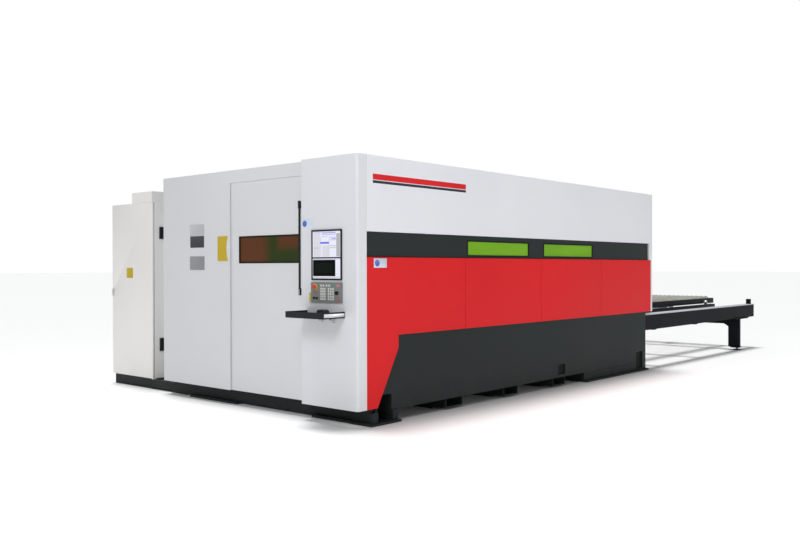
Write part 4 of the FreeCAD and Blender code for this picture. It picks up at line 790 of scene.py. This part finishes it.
monitorLook = {
    "rim": 0.003, "bezel": 0.014, "slope": 0.002, "recess": 0.004, "edge": 0.0015,
    "tile": 0.0004, "tileBack": 0.001, "tileEdge": 0.0001,
    "tiles": {
        "screenWhite": [(0.0, 0.0, 1.0, 1.0)],
        "screenPale": [(0.03, 0.045, 0.28, 0.54), (0.36, 0.30, 0.60, 0.54), (0.0, 0.585, 1.0, 0.60)],
        "screenGrey": [(0.86, 0.05, 0.985, 0.535), (0.05, 0.345, 0.24, 0.357), (0.62, 0.30, 0.85, 0.312),
                       (0.62, 0.345, 0.85, 0.357), (0.295, 0.12, 0.302, 0.52), (0.60, 0.06, 0.606, 0.52),
                       (0.02, 0.975, 0.98, 0.985)],
        "screenLilac": [(0.02, 0.018, 0.30, 0.034), (0.34, 0.018, 0.84, 0.044), (0.34, 0.060, 0.84, 0.074),
                        (0.62, 0.125, 0.84, 0.137), (0.62, 0.178, 0.84, 0.19), (0.33, 0.105, 0.56, 0.115)],
        "screenBlue": [(0.285, 0.225, 0.60, 0.262), (0.70, 0.150, 0.84, 0.162)],
        "screenDivider": [(0.0, 0.548, 1.0, 0.575)],
        "screenDark": [(0.02, 0.605, 0.82, 0.95)],
        "screenMoss": [(0.09, 0.665, 0.74, 0.89)],
    },
}


def makeMonitor():
    low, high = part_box("monitor")
    look = monitorLook
    border = look["bezel"]
    shell = startBlock("monitorShell", low, high)
    pickFaces(shell, facing(toEnd))
    insetPicked(look["rim"])
    insetPicked(border - look["rim"] - look["slope"])
    insetPicked(look["slope"], -look["recess"])
    leaveEdit()
    roundEdges(shell, look["edge"], 3)
    finishPiece(shell, "blackPlastic")
    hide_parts("monitor")
    left, top = high.y - border, high.z - border
    width, height = low.y + border - left, low.z + border - top
    back = low.x + look["recess"]
    lift = 0.0
    for finish, tiles in look["tiles"].items():
        lift += look["tile"]
        made = []
        for x0, z0, x1, z1 in tiles:
            tile = startBlock("tile", (back - lift, left + width * x1, top + height * z1),
                              (back + look["tileBack"], left + width * x0, top + height * z0))
            roundEdges(tile, look["tileEdge"], 1)
            made.append(tile)
        finishPiece(joinPieces(finish + "Tiles", made), finish)


# operator console: keys, collar, display, document pouch

consoleLook = {
    "collar": 0.008,     # the stop's collar stands this far in front of the console's face
    "rim": {"front": 0.0015, "behind": 0.006, "width": 0.005, "edge": 0.001},
    "key": {"size": 0.0165, "front": 0.003, "behind": 0.001, "sink": (0.0028, 0.0006, 0.0012)},
    "blocks": ((0.31, 0.495), (0.55, 0.765)), "rows": (0.254, 0.882), "rowCount": 5, "columnCount": 3,
    "topRow": (0.345, 0.42, 0.52, 0.605), "topHeight": 0.16, "greenKey": 0.69,
    "display": {"left": 0.83, "top": 0.10, "right": 0.925, "bottom": 0.215, "front": 0.0015, "behind": 0.001,
                "sink": (0.002, 0.0005, 0.0006)},
    # rings: middle in front of the face, radius, depth, width, soft edge and its segments
    "stopCollar": (0.0042, 0.0235, 0.0084, 0.0026, 0.001, 2),
    "stopRing": (0.00765, 0.0222, 0.0010, 0.0110, 0.0004, 1),
    "dial": (0.0008, 0.024, 0.0016, 0.0075, 0.0005, 2),
    "marks": {"count": 11, "first": -135.0, "step": 27.0, "radius": 0.021, "front": 0.0022, "back": 0.0015,
              "halfWidth": 0.0005, "halfLength": 0.0016, "edge": 0.0002},
    "pouch": {"width": 0.022, "low": 0.002, "high": 0.080, "depth": 0.012, "sink": (0.002, 0.05, 0.0015)},
    "hook": {"front": 0.002, "back": 0.005, "side": 0.004, "low": 0.012, "high": 0.004, "inset": 0.001,
             "reach": 0.004, "edge": 0.0008},
}


def makeRing(name, face, node, measures):
    forward, radius, depth, width, edge, segments = measures
    low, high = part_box(node)
    middle = (low + high) / 2.0
    ring = startRound(name, (face - forward, middle.y, middle.z), radius, depth, "x", 64)
    openThrough(ring, toEnd, width)
    roundEdges(ring, edge, segments)
    return ring, middle


def makeKeypad(low, high, face):
    # places are shares of the console's width (from the left) and height (from the top)
    look, size = consoleLook, consoleLook["key"]
    half = size["size"] / 2.0
    master = startSunk("keypadKeys", (face - size["front"], high.y - half, high.z - half),
                       (face + size["behind"], high.y + half, high.z + half), toEnd, size["sink"])

    def addKey(across, down):
        return copyTo(master, (0.0, (low.y - high.y) * across, (low.z - high.z) * down))

    keys = []
    first, last = look["rows"]
    for start, end in look["blocks"]:
        for row in range(look["rowCount"]):
            for column in range(look["columnCount"]):
                keys.append(addKey(start + (end - start) * (column + 0.5) / look["columnCount"],
                                   first + (last - first) * (row + 0.5) / look["rowCount"]))
    for across in look["topRow"]:
        keys.append(addKey(across, look["topHeight"]))
    green = addKey(look["greenKey"], look["topHeight"])
    bpy.data.objects.remove(master)
    finishPiece(joinPieces("keypadKeys", keys), "keyWhite")
    green.name = "greenKey"
    finishPiece(green, "signalGreen")


def makeConsoleDetails():
    low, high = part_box("console")
    face = low.x + consoleLook["collar"]
    look = consoleLook["rim"]
    rim = startBlock("consoleRim", (face - look["front"], low.y, low.z),
                     (face + look["behind"], high.y, high.z))
    openThrough(rim, toEnd, look["width"])
    roundEdges(rim, look["edge"])
    finishPiece(rim, "consoleCoat")
    makeKeypad(low, high, face)

    look = consoleLook["display"]
    width, height = low.y - high.y, low.z - high.z
    strip = startSunk(
        "displayStrip",
        (face - look["front"], high.y + width * look["right"], high.z + height * look["bottom"]),
        (face + look["behind"], high.y + width * look["left"], high.z + height * look["top"]),
        toEnd, look["sink"])
    finishPiece(strip, "displayRose")

    collar = makeRing("stopCollar", face, "emergency_stop", consoleLook["stopCollar"])[0]
    ring = makeRing("collarFace", face, "emergency_stop", consoleLook["stopRing"])[0]
    finishPiece(joinPieces("stopCollar", [collar, ring]), "signalYellow")

    dial, centre = makeRing("overrideDial", face, "override_knob", consoleLook["dial"])
    look = consoleLook["marks"]
    marks = [dial]
    for index in range(look["count"]):
        angle = math.radians(look["first"] + look["step"] * index)
        mark = startBlock("dialMark", (face - look["front"], -look["halfWidth"], -look["halfLength"]),
                          (face - look["back"], look["halfWidth"], look["halfLength"]))
        roundEdges(mark, look["edge"], 1)
        turn = Matrix.Rotation(-angle, 4, "X")
        spot = centre + turn @ Vector((0.0, 0.0, look["radius"]))
        mark.data.transform(Matrix.Translation((0.0, spot.y, spot.z)) @ turn)
        marks.append(mark)
    finishPiece(joinPieces("overrideDial", marks), "plateGrey")

    look = consoleLook["pouch"]
    pouch = startSunk("documentPouch", (face, high.y, low.z + look["low"]),
                      (face + look["depth"], high.y + look["width"], low.z + look["high"]), toTop,
                      look["sink"])
    finishPiece(pouch, "plateYellow")
    look = consoleLook["hook"]
    hook = startBlock("pouchHook", (face + look["front"], high.y - look["side"], low.z - look["low"]),
                      (face + look["back"], high.y, low.z + look["high"]))
    pickFaces(hook, facing(toEnd))
    insetPicked(look["inset"])
    bpy.ops.mesh.extrude_region_move(TRANSFORM_OT_translate={"value": (-look["reach"], 0.0, 0.0)})
    leaveEdit()
    roundEdges(hook, look["edge"])
    finishPiece(hook, "paleAluminium")


# keyboard tray: end panel, keyboard, mouse, brackets

trayLook = {
    "height": 0.052,
    "endPanel": {"front": 0.010, "back": 0.008, "low": 0.012, "high": 0.012, "proud": 0.001, "behind": 0.002,
                 "sink": (0.003, 0.0006, 0.0008)},
    "keyboard": {"front": 0.030, "side": 0.012, "lift": 0.006, "depth": 0.150, "width": 0.300,
                 "height": 0.020, "sink": (0.006, 0.003, 0.002)},
    "keys": {"rows": (15, 15, 14, 13, 9), "border": 0.008, "gap": 0.0022, "low": 0.0035, "height": 0.008,
             "taper": (0.78, 0.78, 1.0), "rim": 0.0015, "dish": 0.0004, "edge": 0.0008},
    "shelf": {"start": 0.006, "back": 0.012, "width": 0.118, "low": 0.026, "high": 0.020,
              "sink": (0.004, 0.001, 0.001)},
    "mouse": {"middle": (0.055, 0.060), "low": 0.021, "length": 0.105, "width": 0.062, "height": 0.045,
              "taper": (0.72, 0.80, 1.0), "wheelAhead": 0.0294, "wheelLift": 0.03528, "wheelSize": 0.006,
              "wheelEdge": 0.0012},
    "bracket": {"offsets": (0.119, 0.257), "width": 0.007, "reach": 0.078, "drop": 0.046, "behind": 0.002,
                "below": 0.001, "taper": (1.0, 1.0, 0.25), "edge": 0.001},
}


def makeKeyboard(low, high, bottom):
    look = trayLook["keyboard"]
    x0, y0, z0 = low.x + look["front"], high.y - look["side"] - look["width"], bottom + look["lift"]
    x1, y1, z1 = x0 + look["depth"], y0 + look["width"], z0 + look["height"]
    base = startSunk("keyboardBase", (x0, y0, z0), (x1, y1, z1), toTop, look["sink"])
    finishPiece(base, "blackPlastic")

    look = trayLook["keys"]
    border, gap = look["border"], look["gap"]
    keyLow = z1 - look["low"]
    rowDepth = (x1 - x0 - 2.0 * border) / len(look["rows"])
    keys = []
    for row, count in enumerate(look["rows"]):
        keyWidth = (y1 - y0 - 2.0 * border) / count
        x, y = x0 + border + row * rowDepth, y0 + border
        key = startBlock("trayKey", (x + gap / 2.0, y + gap / 2.0, keyLow),
                         (x + rowDepth - gap / 2.0, y + keyWidth - gap / 2.0, keyLow + look["height"]))
        pickFaces(key, facing(toTop))
        bpy.ops.transform.resize(value=look["taper"])
        insetPicked(look["rim"], -look["dish"])
        leaveEdit()
        roundEdges(key, look["edge"], 1)
        for column in range(count):
            keys.append(copyTo(key, (0.0, column * keyWidth, 0.0)))
        bpy.data.objects.remove(key)
    finishPiece(joinPieces("keyboardKeys", keys), "softBlack")


def makeMouse(low, high):
    look = trayLook["shelf"]
    shelf = startSunk("mouseShelf", (low.x + look["start"], low.y + look["start"], high.z - look["low"]),
                      (high.x - look["back"], low.y + look["width"], high.z - look["high"]), toTop,
                      look["sink"])
    finishPiece(shelf, "paleAluminium")
    look = trayLook["mouse"]
    x, y = low.x + look["middle"][0], low.y + look["middle"][1]
    ground = high.z - look["low"]
    mouse = startBlock("mouseBody", (x - look["width"] / 2.0, y - look["length"] / 2.0, ground),
                       (x + look["width"] / 2.0, y + look["length"] / 2.0, ground + look["height"]))
    pickFaces(mouse, lambda face: True)
    bpy.ops.mesh.subdivide(number_cuts=2)
    pickFaces(mouse, facing(toTop))
    bpy.ops.transform.resize(value=look["taper"])
    leaveEdit()
    makeOnlyActive(mouse)
    smooth = mouse.modifiers.new("smoothShell", "SUBSURF")
    smooth.levels = smooth.render_levels = 2
    bpy.ops.object.modifier_apply(modifier="smoothShell")
    bpy.ops.object.shade_smooth()
    size = look["wheelSize"]
    wheel = startRound("mouseWheel", (x, y + look["wheelAhead"], ground + look["wheelLift"]), size, size,
                       "x", 24)
    roundEdges(wheel, look["wheelEdge"])
    finishPiece(joinPieces("mouse", [mouse, wheel]), "blackPlastic")


def makeKeyboardTray():
    low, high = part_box("keyboard_tray")
    bottom = high.z - trayLook["height"]
    look = trayLook["endPanel"]
    panel = startSunk("trayEndPanel", (low.x + look["front"], low.y - look["proud"], bottom + look["low"]),
                      (high.x - look["back"], low.y + look["behind"], high.z - look["high"]), toSide,
                      look["sink"])
    finishPiece(panel, "paleAluminium")
    makeKeyboard(low, high, bottom)
    makeMouse(low, high)

    look = trayLook["bracket"]
    brackets = []
    for offset in look["offsets"]:
        y, tip = low.y + offset, high.x - look["reach"]
        bracket = startBlock("trayBracket", (tip, y, bottom - look["drop"]),
                             (high.x - look["behind"], y + look["width"], bottom - look["below"]))
        pickFaces(bracket, facing(toEnd))
        bpy.ops.transform.resize(value=look["taper"], center_override=(tip, y, bottom))
        leaveEdit()
        roundEdges(bracket, look["edge"])
        brackets.append(bracket)
    finishPiece(joinPieces("trayBrackets", brackets), "paleAluminium")


# plain plates and tags

plateLook = {
    "thickness": 0.0022, "behind": 0.001, "sink": (0.006, 0.0004, 0.0008),
    "end": [  # on the left end panel: finish, start and end from the panel's near edge, low, high
        ("platePale", 2.155, 2.386, 1.604, 1.712), ("plateDark", 2.158, 2.383, 1.486, 1.598),
        ("plateGrey", 2.152, 2.389, 1.268, 1.401),
    ],
    "rivet": {"inset": 0.008, "front": 0.0006, "radius": 0.003, "depth": 0.0016, "edge": 0.0005},
    "rules": {"on": "plateDark", "count": 5, "first": 0.016, "pitch": 0.020, "height": 0.0025, "left": 0.018,
              "right": 0.030, "front": 0.0003, "edge": 0.0002},
    "yellow": {"corners": (1.783, 1.941, 1.353, 1.587), "behind": 0.0005, "bow": 0.024},
    "cabinet": {"corners": (3.610, 3.735, 1.180, 1.290), "front": 0.0015, "sink": (0.012, 0.0004, 0.0006)},
}
tagLook = {
    "front": 0.0012, "behind": 0.001, "edge": 0.0005,
    "discFront": 0.0016, "discDepth": 0.0012, "discSink": (0.004, 0.0003), "discEdge": 0.0003,
    "tags": [  # name, node, its way out, start, end, low, high, middle and radius of the disc
        ("corner", "corner_panel", "x", 0.515, 0.650, 1.618, 1.698, 0.616, 0.026),
        ("side", "red_panels", "y", 0.190, 0.345, 1.288, 1.364, 0.230, 0.028),
    ],
}


def makeEndPlates():
    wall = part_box("left_end_panel")[0].x
    look, rivets, rules = plateLook, plateLook["rivet"], plateLook["rules"]
    front = wall - look["thickness"]
    for finish, y0, y1, z0, z1 in look["end"]:
        low, high = at(0, y0, z0), at(0, y1, z1)
        plate = startSunk("plate", (front, low.y, low.z), (wall + look["behind"], high.y, high.z), toEnd,
                          look["sink"])
        parts = [plate]
        for y in (low.y + rivets["inset"], high.y - rivets["inset"]):
            for z in (low.z + rivets["inset"], high.z - rivets["inset"]):
                rivet = startRound("rivet", (front - rivets["front"], y, z), rivets["radius"],
                                   rivets["depth"], "x", 16)
                roundEdges(rivet, rivets["edge"])
                parts.append(rivet)
        if finish == rules["on"]:
            for index in range(rules["count"]):
                z = low.z + rules["first"] + index * rules["pitch"]
                rule = startBlock("rule", (front - rules["front"], low.y + rules["left"], z),
                                  (front + look["behind"], high.y - rules["right"], z + rules["height"]))
                roundEdges(rule, rules["edge"], 1)
                parts.append(rule)
        finishPiece(joinPieces(finish + "Sign", parts), finish)

    look = plateLook["yellow"]
    y0, y1, z0, z1 = look["corners"]
    low, high = at(0, y0, z0), at(0, y1, z1)
    sheet = startBlock("yellowPlate", (front, low.y, low.z), (wall + look["behind"], high.y, high.z))
    pickFaces(sheet, lambda face: True)
    bpy.ops.mesh.subdivide(number_cuts=11)
    leaveEdit()
    middle, half = (low.z + high.z) / 2.0, (high.z - low.z) / 2.0
    for vertex in sheet.data.vertices:
        share = (high.y - vertex.co.y) / (high.y - low.y)
        rise = (vertex.co.z - middle) / half
        vertex.co.y += look["bow"] * share * max(0.0, 1.0 - rise * rise)
    finishPiece(sheet, "plateYellow")


def makeTags():
    # pale tags, each with a plain disc
    look = tagLook
    for name, node, way, start, end, low, high, middle, radius in look["tags"]:
        face = getattr(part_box(node)[0], way)

        def onWall(distance, lift, forward):
            place = at(distance, distance, lift)
            setattr(place, way, face - forward)
            return place

        tag = startBlock(name + "Tag", onWall(start, low, look["front"]), onWall(end, high, -look["behind"]))
        roundEdges(tag, look["edge"])
        finishPiece(tag, "plateBluePale")
        disc = startRound(name + "Disc", onWall(middle, (low + high) / 2.0, look["discFront"]), radius,
                          look["discDepth"], way, 40)
        sinkFace(disc, toEnd if way == "x" else toSide, *look["discSink"])
        roundEdges(disc, look["discEdge"], 1)
        finishPiece(disc, "discBlue")


def makeCabinetTag():
    look = plateLook["cabinet"]
    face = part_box("cabinet_door")[0].x
    y0, y1, z0, z1 = look["corners"]
    low, high = at(0, y0, z0), at(0, y1, z1)
    tag = startSunk("cabinetTag", (face - look["front"], low.y, low.z),
                    (face + plateLook["behind"], high.y, high.z), toEnd, look["sink"])
    finishPiece(tag, "plateYellow", "front_door")


# bolts on the feet, louvres at the back

boltLook = {
    "radius": 0.008, "height": 0.009, "lift": 0.002, "crown": 0.0015, "crownRise": 0.001,
    "washer": 0.0125, "washerHeight": 0.0024, "washerEdge": 0.0006, "plateTop": 0.020,
    "cornerOnly": [(0.158, 0.015), (0.158, 0.120)],  # on the near corner's plate beyond its uprights
    "bothSides": [(0.335, 0.060), (0.465, -0.006), (3.80, -0.002), (4.30, -0.002), (4.78, -0.002),
                  (5.16, -0.002)],
}


def makeBolts():
    look = boltLook
    bolt = startRound("bolt", (0.0, 0.0, look["height"] / 2.0 + look["lift"]), look["radius"], look["height"],
                      "z", 6)
    pickFaces(bolt, facing(toTop))
    insetPicked(look["crown"], look["crownRise"])
    leaveEdit()
    height = look["washerHeight"]
    washer = startRound("washer", (0.0, 0.0, height / 2.0), look["washer"], height, "z", 28)
    roundEdges(washer, look["washerEdge"], 1)
    master = joinPieces("bolt", [bolt, washer])
    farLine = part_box("left_end_panel")[1].y
    bolts = []
    for x, y in look["cornerOnly"] + look["bothSides"]:
        bolts.append(copyTo(master, at(x, y, look["plateTop"])))
    for x, y in look["bothSides"]:
        spot = at(x, y, look["plateTop"])
        spot.y = farLine - y
        bolts.append(copyTo(master, spot))
    bpy.data.objects.remove(master)
    finishPiece(joinPieces("footBolts", bolts), "darkCoat")


louvreLook = {
    "count": 9, "pitch": 0.035, "height": 0.022, "depth": 0.012, "behind": 0.001, "taper": (0.985, 1.0, 0.12),
    "edge": 0.0008, "frame": 0.012, "frameSide": 0.020, "frameTop": 0.010, "frameDepth": 0.003,
    "frameEdge": 0.001,
    "cabinet": {"pocket": 0.014, "start": 0.452, "end": 1.048, "cabinetVentLow": 0.35,
                "cabinetVentHigh": 1.50},
    "hall": {"length": 0.70, "lift": 1.62, "hallVentNear": 0.75, "hallVentFar": 3.95},
}


def makeLouvres(name, x0, x1, wallY, lift, finish):
    # slanted blades on a wall that looks to the back
    look = louvreLook
    low, side = floorHeight + lift, look["frameSide"]
    back = wallY - look["behind"]
    parts = []
    blade = startBlock("blade", (x0, back, low), (x1, wallY + look["depth"], low + look["height"]))
    pickFaces(blade, facing(toBack))
    bpy.ops.transform.resize(value=look["taper"], center_override=((x0 + x1) / 2.0, wallY, low))
    leaveEdit()
    roundEdges(blade, look["edge"])
    for index in range(look["count"]):
        parts.append(copyTo(blade, (0.0, 0.0, index * look["pitch"])))
    bpy.data.objects.remove(blade)
    high = low + look["count"] * look["pitch"] + look["frameTop"]
    border = startBlock("border", (x0 - side, back, low - side),
                        (x1 + side, wallY + look["frameDepth"], high))
    openThrough(border, toBack, look["frame"])
    roundEdges(border, look["frameEdge"])
    finishPiece(joinPieces(name, parts + [border]), finish)


def makeVents():
    look = louvreLook["cabinet"]
    low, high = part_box("cabinet_shell")
    for name in ("cabinetVentLow", "cabinetVentHigh"):
        makeLouvres(name, low.x + look["start"], low.x + look["end"], high.y - look["pocket"], look[name],
                    "cabinetCoat")
    look = louvreLook["hall"]
    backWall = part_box("left_end_panel")[1].y
    for name in ("hallVentNear", "hallVentFar"):
        start = hallCorner.x + look[name]
        makeLouvres(name, start, start + look["length"], backWall, look["lift"], "whiteCoat")


# dark sheets of painted shade behind the skirt's openings, painted shade of the cabinet door's gap drawn as a
# seal, plain stripes on the long side

# black sheets standing for the shade inside the skirt's openings: painted shade
paintedShadeSheets = {
    "skirtSlot": ((3.097, 0.0372, 0.138), (3.238, 0.0395, 0.244)),
    "farArch": ((4.942, 0.0372, 0.037), (5.108, 0.0395, 0.236)),
}
paintedShadeSink = (0.006, 0.001, 0.001)
# a black strip by the cabinet door's back edge stands for the shade in the gap: painted shade drawn as a
# rubber seal
gapShadeLook = {"gap": 0.0005, "width": 0.0035, "lift": 0.0012, "behind": 0.001, "sink": (0.0008, 0.0003, 0.0003)}
stripeLook = {
    "thickness": 0.0008, "behind": 0.0005, "edge": 0.0003, "start": 0.180, "end": 1.430,
    "bands": {"stripeDark": (1.975, 1.997), "stripeRed": (2.003, 2.050)},  # low and high edge
}


def makePaintedShadeSheets():
    # each sheet is painted shade in an opening
    for name, (low, high) in paintedShadeSheets.items():
        sheet = startSunk(name, at(*low), at(*high), toSide, paintedShadeSink, 1)
        finishPiece(sheet, "blackRubber")


def makeCabinetGapShade():
    # painted shade of the gap between the cabinet door and its side, drawn as a black rubber strip
    look = gapShadeLook
    low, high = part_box("cabinet_door")
    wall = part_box("cabinet_hinges")[1].y  # the cabinet's side that looks to the hall
    seal = startSunk("cabinetGapShade", (high.x + look["gap"], wall - look["lift"], low.z),
                     (high.x + look["width"], wall + look["behind"], high.z), toSide, look["sink"], 1)
    finishPiece(seal, "blackRubber")


def makeStripes():
    look = stripeLook
    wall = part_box("corner_panel")[0].y
    for finish, (low, high) in look["bands"].items():
        start, end = at(look["start"], 0, low), at(look["end"], 0, high)
        band = startBlock(finish, (start.x, wall - look["thickness"], start.z),
                          (end.x, wall + look["behind"], end.z))
        roundEdges(band, look["edge"], 1)
        finishPiece(band, finish)


makePullHandle()
makeWindowGaskets()
print("door finished")
makeMonitor()
makeConsoleDetails()
makeKeyboardTray()
print("controls finished")
makeEndPlates()
makeTags()
makeCabinetTag()
makeBolts()
makeVents()
makePaintedShadeSheets()
makeCabinetGapShade()
makeStripes()
print("plates, bolts, vents and seals finished")
finishNodes()
clearSelection()
